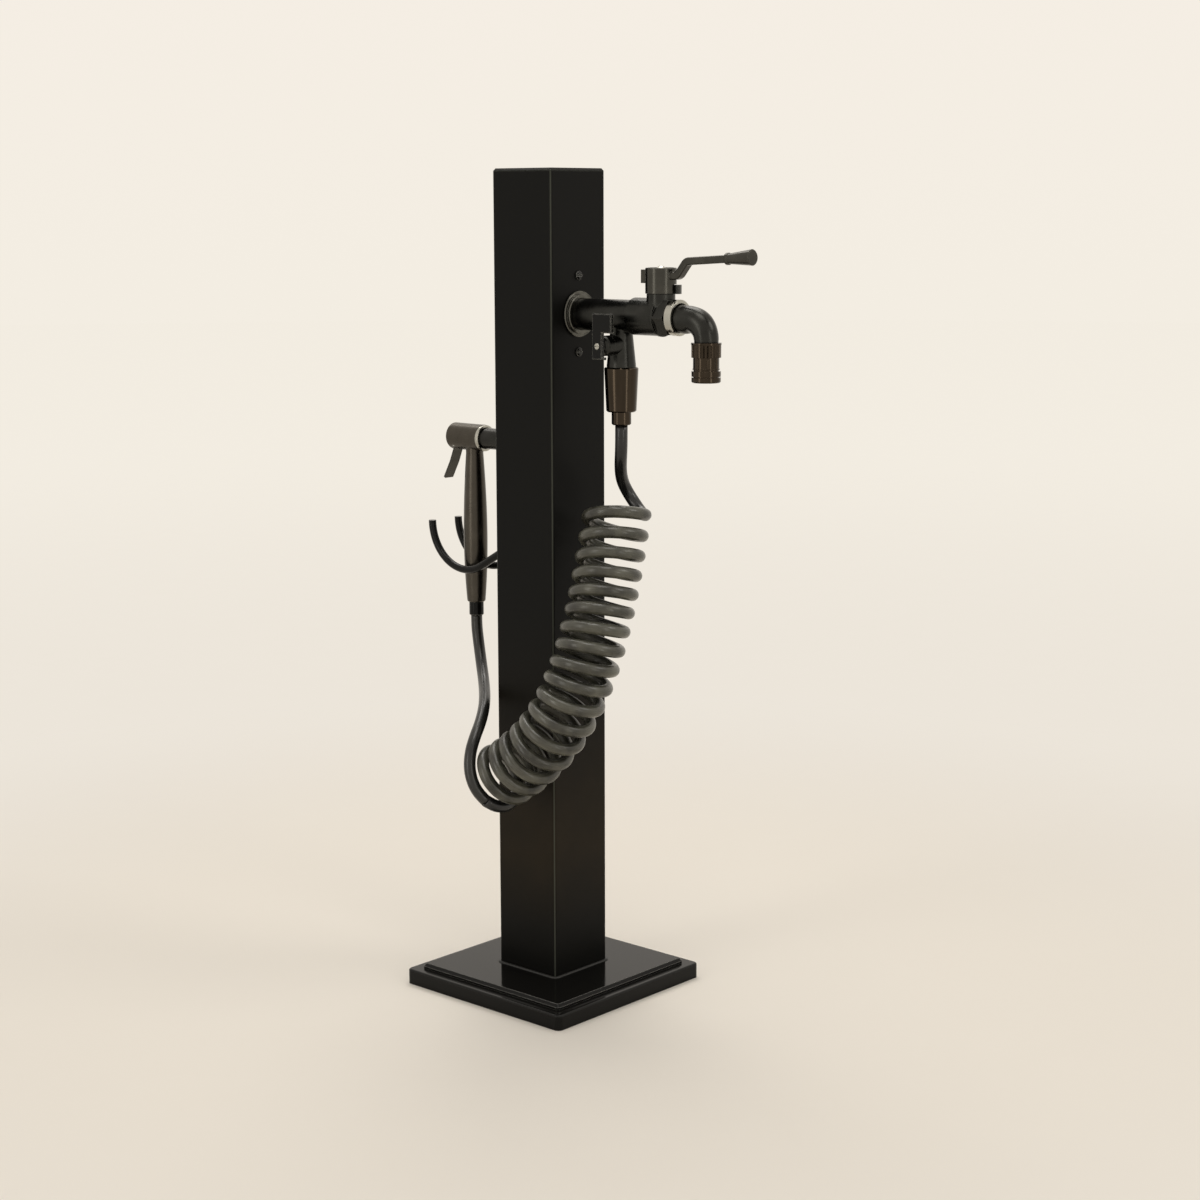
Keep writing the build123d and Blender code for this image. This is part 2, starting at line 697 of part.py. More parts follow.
# Swivel nut, washer, strainer and ribbed nozzle at the spout's end
swivel_foot_drop = 36.5
swivel_foot = tap_height - swivel_foot_drop
swivel_top_drop = 22.5
swivel_top = tap_height - swivel_top_drop
swivel_lip = 2.0
swivel_lip_r = 9.0
swivel_r = 14.3
swivel_rim_r = 14.7
swivel_rim = 2.0
swivel_flutes = 24
flute_r = 0.9
nozzle_flange_r = 10.2
nozzle_flange = 2.0
nozzle_neck_r = 8.9
spout_washer_inner = 7.0
strainer_thick = 0.5
strainer_hole_r = 0.8
strainer_hole_counts = [1, 6, 12]
strainer_pitch = 2.7
swivel_seat = swivel_foot + swivel_lip
swivel_neck = spout_foot - play

with BuildPart() as connector_nut:
    rod(level(0, spout_reach), swivel_foot, swivel_top - swivel_rim, swivel_r)
    rod(level(0, spout_reach), swivel_top - swivel_rim, swivel_top, swivel_rim_r)
    with BuildSketch(level(swivel_foot, spout_reach)):
        with PolarLocations(swivel_r, swivel_flutes):
            RegularPolygon(flute_r, 4)
    extrude(amount=swivel_top - swivel_rim - swivel_foot, mode=Mode.SUBTRACT)
    rod(level(0, spout_reach), swivel_seat, swivel_neck, spout_thread_r + play, Mode.SUBTRACT)
    rod(level(0, spout_reach), swivel_neck, swivel_top, spout_foot_r + clear, Mode.SUBTRACT)
    rod(level(0, spout_reach), swivel_foot, swivel_seat, swivel_lip_r, Mode.SUBTRACT)
write(connector_nut, "connector_nut")

washer_foot = swivel_seat + nozzle_flange

with BuildPart() as connector_washer:
    rod(level(0, spout_reach), washer_foot, thread_end - strainer_thick, nozzle_flange_r)
    rod(level(0, spout_reach), washer_foot, thread_end - strainer_thick, spout_washer_inner, Mode.SUBTRACT)
write(connector_washer, "connector_washer")

with BuildPart() as strainer:
    rod(level(0, spout_reach), thread_end - strainer_thick, thread_end, nozzle_flange_r)
    with BuildSketch(level(thread_end, spout_reach)):
        for ring, count in enumerate(strainer_hole_counts):
            with PolarLocations(ring * strainer_pitch, count):
                Circle(strainer_hole_r)
    extrude(amount=-strainer_thick, mode=Mode.SUBTRACT)
write(strainer, "strainer")

nozzle_bore = 8.0
nozzle_bore_depth = 12.0
nozzle_water_r = 6.5
nozzle_ring_r = 14.2
nozzle_groove_r = 12.3
nozzle_ring = 5.0
nozzle_groove = 1.0
nozzle_collar_r = 13.2
nozzle_collar = 0.8
nozzle_collar_drop = 48.0
nozzle_collar_foot = tap_height - nozzle_collar_drop
nozzle_panel_r = 12.6
nozzle_panels = 8
nozzle_panel_gap_r = 1.6
nozzle_lead = 1.0
lower_ring_top = spout_mouth_height + nozzle_ring
upper_ring_foot = lower_ring_top + nozzle_groove
upper_ring_top = upper_ring_foot + nozzle_ring

with BuildPart() as connector_body:
    rod(level(0, spout_reach), nozzle_collar_foot, swivel_foot, nozzle_panel_r)
    with BuildSketch(level(nozzle_collar_foot + nozzle_collar, spout_reach)):
        with PolarLocations(nozzle_panel_r + nozzle_panel_gap_r / 2, nozzle_panels):
            Circle(nozzle_panel_gap_r)
    extrude(amount=swivel_foot - nozzle_collar_foot - nozzle_collar - overrun, mode=Mode.SUBTRACT)
    turned(level(0, spout_reach), (spout_mouth_height, 0), (spout_mouth_height, nozzle_ring_r - nozzle_lead),
           (spout_mouth_height + nozzle_lead, nozzle_ring_r), (lower_ring_top, nozzle_ring_r),
           (lower_ring_top, nozzle_groove_r), (upper_ring_foot, nozzle_groove_r),
           (upper_ring_foot, nozzle_ring_r), (upper_ring_top, nozzle_ring_r),
           (upper_ring_top, nozzle_groove_r), (nozzle_collar_foot, nozzle_groove_r),
           (nozzle_collar_foot, nozzle_collar_r), (nozzle_collar_foot + nozzle_collar, nozzle_collar_r),
           (nozzle_collar_foot + nozzle_collar, 0))
    rod(level(0, spout_reach), swivel_foot, swivel_seat, nozzle_neck_r)
    rod(level(0, spout_reach), swivel_seat, washer_foot, nozzle_flange_r)
    rod(level(0, spout_reach), spout_mouth_height, washer_foot, nozzle_water_r, Mode.SUBTRACT)
    rod(level(0, spout_reach), spout_mouth_height, spout_mouth_height + nozzle_bore_depth, nozzle_bore,
        Mode.SUBTRACT)
    chamfer(connector_body.edges().filter_by(GeomType.CIRCLE).group_by(Axis.Z)[0].sort_by(
        SortBy.RADIUS)[0], nozzle_lead)
write(connector_body, "connector_body")

# Inside the branch tap
branch_insert_thick = 4.5
branch_seat_r = branch_cavity_r - play

with BuildPart() as branch_seats:
    for start in (branch_axis_height + branch_flat, branch_axis_height - branch_flat - branch_seat_thick):
        rod(level(0, branch_reach), start, start + branch_seat_thick, branch_seat_r)
        rod(level(0, branch_reach), start, start + branch_seat_thick, branch_bore, Mode.SUBTRACT)
    ball(branch_centre, branch_ball_r + running, Mode.SUBTRACT)
write(branch_seats, "branch_seats")

branch_insert_top = branch_axis_height - branch_flat - branch_seat_thick

with BuildPart() as branch_insert:
    rod(level(0, branch_reach), branch_insert_top - branch_insert_thick, branch_insert_top, branch_seat_r)
    rod(level(0, branch_reach), branch_insert_top - branch_insert_thick, branch_insert_top, branch_bore,
        Mode.SUBTRACT)
write(branch_insert, "branch_insert")

branch_tongue_thick = 2.5
branch_tongue_width = 5.0
branch_tongue_start = 5.4
branch_stem_start = 7.6
paddle_side = 33.0
paddle_thick = 3.5
branch_side = beside(0, branch_reach, branch_axis_height)

with BuildPart() as branch_ball:
    ball(branch_centre, branch_ball_r)
    rod(level(0, branch_reach), branch_axis_height - branch_ball_r, branch_axis_height + branch_ball_r,
        branch_bore, Mode.SUBTRACT)
    with BuildSketch(branch_side.offset(branch_tongue_start - play)):
        Rectangle(branch_ball_r + branch_ball_r, branch_tongue_thick + play + play)
    extrude(amount=branch_ball_r, mode=Mode.SUBTRACT)
write(branch_ball, "branch_ball")

stem_square = 4.6
stem_tapped_r = 1.3
stem_tapped_depth = 7.0

with BuildPart() as branch_stem:
    with BuildSketch(branch_side.offset(branch_tongue_start)):
        Rectangle(branch_tongue_width, branch_tongue_thick)
    extrude(amount=branch_stem_start - branch_tongue_start)
    rod(branch_side, branch_stem_start, paddle_side, branch_stem_r)
    with BuildSketch(branch_side.offset(paddle_side)):
        Rectangle(stem_square, stem_square)
    extrude(amount=paddle_thick / 2)
    rod(branch_side, paddle_side - stem_tapped_depth, paddle_side + paddle_thick, stem_tapped_r,
        Mode.SUBTRACT)
write(branch_stem, "branch_stem")

with BuildPart() as branch_packing:
    rod(branch_side, boss_side - packing_depth, boss_side - packing_depth + packing_thick,
        packing_r - running)
    rod(branch_side, boss_side - packing_depth, boss_side, branch_stem_r + running, Mode.SUBTRACT)
write(branch_packing, "branch_packing")

gland_end = 31.0
gland_crown = 4.0
gland_crown_r = 7.0
gland_step_r = 9.2

with BuildPart() as branch_gland:
    turned(branch_side, (boss_side, 0), (boss_side, boss_r), (gland_end - gland_crown, boss_r),
           (gland_end - gland_crown / 2, gland_step_r), (gland_end, gland_crown_r), (gland_end, 0))
    rod(branch_side, boss_side - packing_depth + packing_thick, boss_side, packing_r - play)
    rod(branch_side, boss_side - packing_depth, gland_end, branch_stem_r + running, Mode.SUBTRACT)
write(branch_gland, "branch_gland")

# Flag-shaped paddle
paddle_leg_front = 6.5
paddle_leg_rear = 6.5
paddle_foot_drop = 41.5
paddle_foot = tap_height - paddle_foot_drop
paddle_rise = 3.5
paddle_top = tap_height + paddle_rise
paddle_flag_drop = 15.5
paddle_flag_foot = tap_height - paddle_flag_drop
paddle_flag_front = 18.5
paddle_toe_front = 9.5
paddle_toe = 2.5
paddle_hub_r = 6.0
paddle_edge = 0.8
paddle_corner = 2.0
paddle_screw_head_r = 3.0
paddle_screw_r = 1.2
paddle_screw_length = 8.5
paddle_outside = paddle_side + paddle_thick
paddle_outline = [
    (-paddle_leg_rear, paddle_foot), (paddle_toe_front, paddle_foot),
    (paddle_toe_front, paddle_foot + paddle_toe), (paddle_leg_front, paddle_foot + paddle_toe),
    (paddle_leg_front, paddle_flag_foot), (paddle_flag_front, paddle_flag_foot),
    (paddle_flag_front, paddle_top), (-paddle_leg_rear, paddle_top),
]

with BuildPart() as diverter_paddle:
    with BuildSketch(branch_side.offset(paddle_side)):
        with BuildLine():
            Polyline(*[(front, height - branch_axis_height) for front, height in paddle_outline], close=True)
        make_face()
    extrude(amount=paddle_thick)
    fillet(diverter_paddle.edges().filter_by(Axis.X).group_by(Axis.Z)[-1], paddle_corner)
    chamfer(diverter_paddle.faces().sort_by(Axis.X)[0].outer_wire().edges(), paddle_edge)
    rod(branch_side, gland_end + clear, paddle_side, paddle_hub_r)
    rod(branch_side, gland_end + clear, paddle_side, branch_stem_r + play, Mode.SUBTRACT)
    with BuildSketch(branch_side.offset(paddle_side)):
        Rectangle(stem_square + play + play, stem_square + play + play)
    extrude(amount=paddle_thick / 2, mode=Mode.SUBTRACT)
    rod(branch_side, paddle_side, paddle_outside, paddle_screw_r + play, Mode.SUBTRACT)
    turned(branch_side, (paddle_outside - paddle_screw_head_r / 2, 0),
           (paddle_outside - paddle_screw_head_r / 2, paddle_screw_r + play),
           (paddle_outside, paddle_screw_head_r + play), (paddle_outside, 0), mode=Mode.SUBTRACT)
write(diverter_paddle, "diverter_paddle")

paddle_screw_end = paddle_outside - paddle_screw_length
paddle_slot = 0.7

with BuildPart() as paddle_screw:
    turned(branch_side, (paddle_screw_end, 0), (paddle_screw_end, paddle_screw_r),
           (paddle_outside - paddle_screw_head_r / 2, paddle_screw_r), (paddle_outside, paddle_screw_head_r),
           (paddle_outside, 0))
    with BuildSketch(branch_side.offset(paddle_outside)):
        Rectangle(paddle_screw_head_r + paddle_screw_head_r, paddle_slot)
    extrude(amount=-paddle_slot, mode=Mode.SUBTRACT)
write(paddle_screw, "paddle_screw")

# Long outlet sleeve of the branch tap and the hose nut below it
sleeve_top_r = 17.0
sleeve_foot_r = 15.0
sleeve_drop = 94.5
sleeve_foot = tap_height - sleeve_drop
sleeve_edge = 1.2
hose_thread_r = 8.0
hose_thread = 12.0
hose_washer_thick = 2.0
hose_bore = 4.5
hose_nut_r = 9.75
hose_nut_drop = 107.5
hose_nut_foot = tap_height - hose_nut_drop
hose_nut_edge = 1.0
sleeve_socket = branch_foot - branch_spigot

with BuildPart() as branch_sleeve:
    turned(level(0, branch_reach), (sleeve_foot, 0), (sleeve_foot, sleeve_foot_r - sleeve_edge),
           (sleeve_foot + sleeve_edge, sleeve_foot_r), (branch_foot - sleeve_edge, sleeve_top_r),
           (branch_foot, sleeve_top_r - sleeve_edge), (branch_foot, 0))
    rod(level(0, branch_reach), sleeve_socket, branch_foot, branch_spigot_r + play, Mode.SUBTRACT)
    rod(level(0, branch_reach), sleeve_foot, sleeve_socket, hose_bore, Mode.SUBTRACT)
    rod(level(0, branch_reach), sleeve_foot, sleeve_foot + hose_thread + hose_washer_thick,
        hose_thread_r + play, Mode.SUBTRACT)
write(branch_sleeve, "branch_sleeve")

with BuildPart() as branch_hose_nut:
    turned(level(0, branch_reach), (hose_nut_foot, 0), (hose_nut_foot, hose_nut_r - hose_nut_edge),
           (hose_nut_foot + hose_nut_edge, hose_nut_r), (sleeve_foot, hose_nut_r),
           (sleeve_foot, hose_thread_r), (sleeve_foot + hose_thread, hose_thread_r),
           (sleeve_foot + hose_thread, 0))
    rod(level(0, branch_reach), hose_nut_foot, sleeve_foot + hose_thread, hose_bore, Mode.SUBTRACT)
write(branch_hose_nut, "branch_hose_nut")

with BuildPart() as branch_hose_washer:
    rod(level(sleeve_foot, branch_reach), hose_thread, hose_thread + hose_washer_thick, hose_thread_r)
    rod(level(sleeve_foot, branch_reach), hose_thread, hose_thread + hose_washer_thick, hose_bore,
        Mode.SUBTRACT)
write(branch_hose_washer, "branch_hose_washer")

# Hose: straight under the branch tap, then about 17 curls, then a free tail up to the sprayer
upper_hose_drop = 150.5
upper_hose_end = tap_height - upper_hose_drop

with BuildPart() as upper_hose:
    rod(level(0, branch_reach), upper_hose_end, hose_nut_foot, hose_r)
write(upper_hose, "upper_hose")

coil_r = 28.6
coil_turns = 17.3
coil_sides = 8
lead_turns = 0.5
lead_drop = 30.0
hose_end_run = 12.5
arcs_per_turn = 4
points_per_turn = 24
coil_shape = [(0, 7, 201.5), (-45, -13, 298.5), (-77, -16, 372.5), (-77, 22, 430.5), (-88, 99, 471.5)]
coil_axis = Bezier(*[(side, back - branch_reach, tap_height - drop) for side, back, drop in coil_shape])
coil_side = Vector(0.745, 0.667, 0)
coil_down = coil_axis % 0
lead_top = Vector(0, -branch_reach, upper_hose_end)
lead_reach = coil_axis.length / coil_turns * lead_turns / 3
lead_axis = Bezier(lead_top, lead_top - Vector(0, 0, lead_drop), coil_axis @ 0 - coil_down * lead_reach,
                   coil_axis @ 0)


def coil_place(turn):
    """Centre of the coiled hose after this many turns; below zero it widens out of the straight hose."""
    share = max(turn, 0) / coil_turns
    centre = coil_axis @ share
    along = coil_axis % share
    radius = coil_r
    if turn < 0:
        share = 1 + turn / lead_turns
        centre = lead_axis @ share
        radius = coil_r * share * share * (3 - 2 * share)
    right = along.cross(coil_side).normalized()
    back = right.cross(along)
    angle = 2 * math.pi * turn
    return centre + (right * math.cos(angle) - back * math.sin(angle)) * radius


def heading(place, turn, first, last):
    """Direction of a wound line at this turn."""
    step = 1e-3
    return (place(min(last, turn + step)) - place(max(first, turn - step))).normalized()


def biarc(start, start_heading, end, end_heading):
    """Two arcs that join two points and keep both headings."""
    chord = end - start
    both = start_heading + end_heading
    spread = 2 * (1 - start_heading.dot(end_heading))
    reach = (math.sqrt(chord.dot(both) ** 2 + spread * chord.dot(chord)) - chord.dot(both)) / spread
    knee = start + start_heading * reach
    far_knee = end - end_heading * reach
    middle = (knee + far_knee) / 2
    TangentArc(start, middle, tangent=start_heading)
    TangentArc(middle, end, tangent=(far_knee - knee).normalized())


def wind(place, stations):
    """Chains biarcs along a wound line through these stations, in turns."""
    first, last = stations[0], stations[-1]
    for here, there in zip(stations, stations[1:]):
        biarc(place(here), heading(place, here, first, last),
              place(there), heading(place, there, first, last))


lead_arcs = round(lead_turns * arcs_per_turn)
lead_stations = [-lead_turns * (1 - step / lead_arcs) for step in range(lead_arcs)]
coil_arcs = round(coil_turns * arcs_per_turn)
coil_stations = [coil_turns * step / coil_arcs for step in range(coil_arcs + 1)]
coil_end = coil_place(coil_turns)
coil_heading = heading(coil_place, coil_turns, -lead_turns, coil_turns)
coil_tip = coil_end + coil_heading * hose_end_run

with BuildPart() as coil_hose:
    with BuildLine() as coil_line:
        wind(coil_place, lead_stations + coil_stations)
        Line(coil_end, coil_tip)
    with BuildSketch(Plane(origin=lead_top, z_dir=coil_line.line % 0)):
        RegularPolygon(coil_hose_r, coil_sides)
    sweep()
write(coil_hose, "coil_hose")

coil_points = [coil_place(step / points_per_turn) for step in range(int(coil_turns * points_per_turn))]
coil_gap = min((here - there).length for index, here in enumerate(coil_points)
               for there in coil_points[index + points_per_turn // 2:]) - coil_hose_r - coil_hose_r
coil_radii = [edge.radius for edge in coil_line.edges() if edge.geom_type == GeomType.CIRCLE]
print("coil: least gap to itself", round(coil_gap, 2), "least bend radius", round(min(coil_radii), 1),
      "length", round(sum(edge.length for edge in coil_line.edges())))

# Free tail of the hose: straight runs joined by the widest arcs that they allow
sprayer_nut_drop = 190.0
sprayer_nut_foot = peg_height - sprayer_nut_drop
tail_last_run = 20.0
tail_bend_share = 0.45
tail_first_run = 14.0
tail_sides = [-116.3, -109.0, -96.5, -80.0, -63.0, -47.0, -31.7, -18.8, -9.0, -2.5]
tail_back_shares = [0.179, 0.2385, 0.2844, 0.3486, 0.412, 0.522, 0.641, 0.757, 0.862, 0.95]
tail_drops = [304.0, 294.5, 288.0, 284.0, 283.0, 279.0, 274.5, 267.0, 253.5, 233.0]
tail_points = [coil_tip, coil_tip + coil_heading * tail_first_run]
tail_points += [Vector(side, handle_reach_back * back_share, peg_height - drop)
                for side, back_share, drop in zip(tail_sides, tail_back_shares, tail_drops)]
tail_points += [Vector(0, handle_reach_back, sprayer_nut_foot - tail_last_run),
                Vector(0, handle_reach_back, sprayer_nut_foot)]
tail_radii = []
for before, corner, after in zip(tail_points, tail_points[1:], tail_points[2:]):
    half_turn = math.radians((corner - before).get_angle(after - corner)) / 2
    run = min((corner - before).length, (after - corner).length)
    tail_radii.append(tail_bend_share * run / math.tan(half_turn))
print("tail: bend radii", [round(radius) for radius in tail_radii])

with BuildPart() as tail_hose:
    with BuildLine() as tail_line:
        FilletPolyline(*tail_points, radius=tail_radii)
    with BuildSketch(Plane(origin=coil_tip, z_dir=tail_line.line % 0)):
        Circle(hose_r)
    sweep()
write(tail_hose, "tail_hose")

# Peg that carries the sprayer
peg_r = 11.0
peg_setback = 9.8
peg_length = handle_reach_back - peg_setback - face_reach
peg_edge = 1.5
stud_r = 2.95
stud_length = 14.0
peg_axis = behind(face_reach, peg_height)

with BuildPart() as holder_peg:
    rod(peg_axis, 0, peg_length, peg_r)
    chamfer(holder_peg.edges().group_by(Axis.Y)[-1], peg_edge)
    rod(peg_axis, -stud_length, 0, stud_r)
write(holder_peg, "holder_peg")

# Hook: a plate with two bent prongs welded on
hook_plate_width = 56.0
hook_plate_height = 28.0
hook_plate_thick = 3.0
hook_plate_corner = 4.0
prong_side = 19.3
prong_r = 4.0
prong_bend = 48.5
prong_lead = 3.0
prong_centre_back = handle_reach_back - prong_lead
prong_centre_rise = 16.0
prong_centre_height = hook_height + prong_centre_rise
prong_slope = 30.0
prong_weld = 0.8
prong_arc_start = 270.0 - prong_slope
prong_low_back = prong_centre_back - prong_bend * math.sin(math.radians(prong_slope))
prong_low_height = prong_centre_height - prong_bend * math.cos(math.radians(prong_slope))
prong_root_back = face_reach + hook_plate_thick - prong_weld
prong_root_rise = (prong_low_back - prong_root_back) * math.tan(math.radians(prong_slope))
prong_root_height = prong_low_height + prong_root_rise

with BuildPart() as hook:
    with BuildSketch(behind(face_reach, hook_height)):
        RectangleRounded(hook_plate_width, hook_plate_height, hook_plate_corner)
    extrude(amount=hook_plate_thick)
    for side in (-prong_side, prong_side):
        with BuildLine(Plane.YZ.offset(side)) as prong:
            Line((prong_root_back, prong_root_height), (prong_low_back, prong_low_height))
            CenterArc((prong_centre_back, prong_centre_height), prong_bend, prong_arc_start, 90 + prong_slope)
        with BuildSketch(Plane(origin=prong.line @ 0, z_dir=prong.line % 0)):
            Circle(prong_r)
        sweep(path=prong.line)
    for side in (-hook_screw_side, hook_screw_side):
        rod(behind(face_reach, hook_height, side), 0, hook_plate_thick, stud_r + play, Mode.SUBTRACT)
write(hook, "hook")

hook_screw_length = 12.0
hook_screw_head_r = 5.0

with BuildPart() as hook_screws:
    for side in (-hook_screw_side, hook_screw_side):
        pan_screw(behind(face_reach + hook_plate_thick, hook_height, side), hook_screw_length, stud_r,
                  hook_screw_head_r)
write(hook_screws, "hook_screws")

# Sprayer head, on the peg's axis
head_r = 14.0
head_lead = 13.5
head_front = handle_reach_back - head_lead
head_lag = 30.0
head_rear = handle_reach_back + head_lag
head_edge = 2.0
mouth_r = 11.3
ring_lead = 17.5
ring_front = handle_reach_back - ring_lead
ring_r = 13.7
spray_lead = 9.0
spray_front = handle_reach_back - spray_lead
spray_thick = 2.0
chamber_r = 9.5
nozzle_seat_thick = 4.0
guide_lag = 9.0
guide_front = handle_reach_back + guide_lag
guide_thick = 3.0
rear_bore_r = 8.5
rear_wall = 2.7
boss_drop = 16.0
boss_foot = peg_height - boss_drop
head_boss_r = 9.2
joint_spigot_r = 6.0
joint_spigot = 5.0
handle_water_r = 3.0
slot_side = 6.3
slot_lag = 17.3
slot_front = handle_reach_back + slot_lag
slot_rear_lag = 28.0
slot_rear = handle_reach_back + slot_rear_lag
pin_lag = 21.0
pin_back = handle_reach_back + pin_lag
pin_drop = 8.5
pin_height = peg_height - pin_drop
pin_r = 1.5
pin_half = 10.8
chamber_front = spray_front + spray_thick
guide_rear = guide_front + guide_thick
seat_rear = chamber_front + nozzle_seat_thick
head_axis = behind(0, peg_height)
pin_axis = Plane(origin=(0, pin_back, pin_height), x_dir=(0, 1, 0), z_dir=(1, 0, 0))

with BuildPart() as sprayer_head:
    rod(head_axis, head_front, head_rear, head_r)
    fillet(sprayer_head.edges().group_by(Axis.Y)[-1], head_edge)
    rod(level(0, -handle_reach_back), boss_foot, peg_height, head_boss_r)
    rod(head_axis, head_front, chamber_front, mouth_r, Mode.SUBTRACT)
    rod(head_axis, chamber_front, guide_rear, chamber_r, Mode.SUBTRACT)
    rod(head_axis, guide_rear, head_rear - rear_wall, rear_bore_r, Mode.SUBTRACT)
    rod(level(0, -handle_reach_back), boss_foot, boss_foot + joint_spigot, joint_spigot_r + play,
        Mode.SUBTRACT)
    rod(level(0, -handle_reach_back), boss_foot, peg_height, handle_water_r, Mode.SUBTRACT)
    with BuildSketch(Plane.XY.offset(boss_foot)):
        with Locations((0, (slot_front + slot_rear) / 2)):
            Rectangle(slot_side + slot_side, slot_rear - slot_front)
    extrude(amount=peg_height - boss_foot, mode=Mode.SUBTRACT)
    rod(pin_axis, -pin_half - play, pin_half + play, pin_r + running, Mode.SUBTRACT)
write(sprayer_head, "sprayer_head")

ring_edge = 0.8

with BuildPart() as spray_ring:
    turned(head_axis, (ring_front, mouth_r), (ring_front, ring_r - ring_edge),
           (ring_front + ring_edge, ring_r), (head_front, ring_r), (head_front, mouth_r))
write(spray_ring, "spray_ring")

spray_hole_r = 0.6
spray_hole_counts = [6, 12, 18]
spray_pitch = 2.7

with BuildPart() as spray_plate:
    rod(head_axis, spray_front, chamber_front, mouth_r - play)
    with BuildSketch(behind(chamber_front, peg_height)):
        for ring, count in enumerate(spray_hole_counts, 1):
            with PolarLocations(ring * spray_pitch, count):
                Circle(spray_hole_r)
    extrude(amount=-spray_thick, mode=Mode.SUBTRACT)
write(spray_plate, "spray_plate")

seat_hole_r = 3.5
seat_dish_r = 8.5
seat_dish = 1.2

with BuildPart() as nozzle_seat:
    rod(head_axis, chamber_front, seat_rear, chamber_r - play)
    rod(head_axis, chamber_front, seat_rear, seat_hole_r, Mode.SUBTRACT)
    rod(head_axis, chamber_front, chamber_front + seat_dish, seat_dish_r, Mode.SUBTRACT)
write(nozzle_seat, "nozzle_seat")

rod_r = 2.0

with BuildPart() as rod_guide:
    rod(head_axis, guide_front, guide_rear, chamber_r - play)
    rod(head_axis, guide_front, guide_rear, rod_r + running, Mode.SUBTRACT)
write(rod_guide, "rod_guide")

# Poppet with its rod and collar, and the return spring between its cup and the guide
poppet_r = 6.0
poppet_wall = 2.2
poppet_cup = 2.6
poppet_cup_r = 5.0
poppet_face = 1.0
rod_lag = 25.0
rod_end = handle_reach_back + rod_lag
collar_lag = 22.8
collar_start = handle_reach_back + collar_lag
collar_r = 4.5
collar_thick = 1.5
plunger_travel = 2.23
poppet_front = seat_rear + poppet_face
poppet_back = poppet_front + poppet_wall

with BuildPart() as plunger:
    rod(head_axis, poppet_front, poppet_back + poppet_cup, poppet_r)
    rod(head_axis, poppet_back, poppet_back + poppet_cup, poppet_cup_r, Mode.SUBTRACT)
    rod(head_axis, poppet_front, rod_end, rod_r)
    rod(head_axis, collar_start, collar_start + collar_thick, collar_r)
write(plunger, "plunger")

with BuildPart() as plunger_seal:
    rod(head_axis, seat_rear + running, poppet_front, poppet_r - overrun)
write(plunger_seal, "plunger_seal")

spring_wire_r = 0.4
spring_r = 3.9
spring_turns = 4.0
spring_sides = 5
spring_front = poppet_back + plunger_travel + play + spring_wire_r
spring_rear = guide_front - spring_wire_r


def spring_place(turn):
    """Centre of the spring's wire after this many turns."""
    angle = 2 * math.pi * turn
    along = spring_front + (spring_rear - spring_front) * turn / spring_turns
    return Vector(spring_r * math.cos(angle), along, peg_height + spring_r * math.sin(angle))


spring_arcs = round(spring_turns * arcs_per_turn / 2)
spring_stations = [spring_turns * step / spring_arcs for step in range(spring_arcs + 1)]

with BuildPart() as poppet_spring:
    with BuildLine() as spring_line:
        wind(spring_place, spring_stations)
    with BuildSketch(Plane(origin=spring_line.line @ 0, z_dir=spring_line.line % 0)):
        RegularPolygon(spring_wire_r, spring_sides)
    sweep()
write(poppet_spring, "poppet_spring")

# Trigger: a bent leaf on a barrel, with a fork behind the collar's front
barrel_r = 3.2
barrel_half = 5.9
leaf_thick = 2.6
leaf_bend = 9.0
leaf_shape = [(0, 0), (4.0, 5.5), (9.5, 19.0), (19.0, 36.5)]
leaf_route = [(pin_back + back, pin_height - drop) for back, drop in leaf_shape]
tine_inside = 2.6
tine_outside = 4.6
tine_half = 1.5
tine_top = peg_height

with BuildPart() as trigger:
    with BuildSketch(Plane.YZ.offset(-barrel_half)):
        with BuildLine():
            FilletPolyline(*leaf_route, radius=leaf_bend)
        trace(line_width=leaf_thick)
    extrude(amount=barrel_half + barrel_half)
    rod(pin_axis, -barrel_half, barrel_half, barrel_r)
    for inner, outer in ((tine_inside, tine_outside), (-tine_outside, -tine_inside)):
        with BuildSketch(pin_axis.offset(inner)):
            SlotCenterPoint((0, (tine_top - pin_height) / 2), (0, tine_top - pin_height),
                            tine_half + tine_half)
        extrude(amount=outer - inner)
    rod(pin_axis, -barrel_half, barrel_half, pin_r + running, Mode.SUBTRACT)
write(trigger, "trigger")

with BuildPart() as trigger_pin:
    rod(pin_axis, -pin_half, pin_half, pin_r)
write(trigger_pin, "trigger_pin")

# Handle and the nut that holds the hose
handle_length = 159.0
handle_foot = boss_foot - handle_length
handle_shape = [(0, 9.0), (1.0, 9.7), (65.0, 12.6), (108.0, 11.9), (159.0, 9.1)]
handle_outline = [(handle_foot + rise, radius) for rise, radius in handle_shape]
handle_nut_spigot = 8.0
sprayer_nut_r = 7.7
sprayer_nut_spigot_r = 5.9
sprayer_nut_bore = 3.5
handle_axis = level(0, -handle_reach_back)

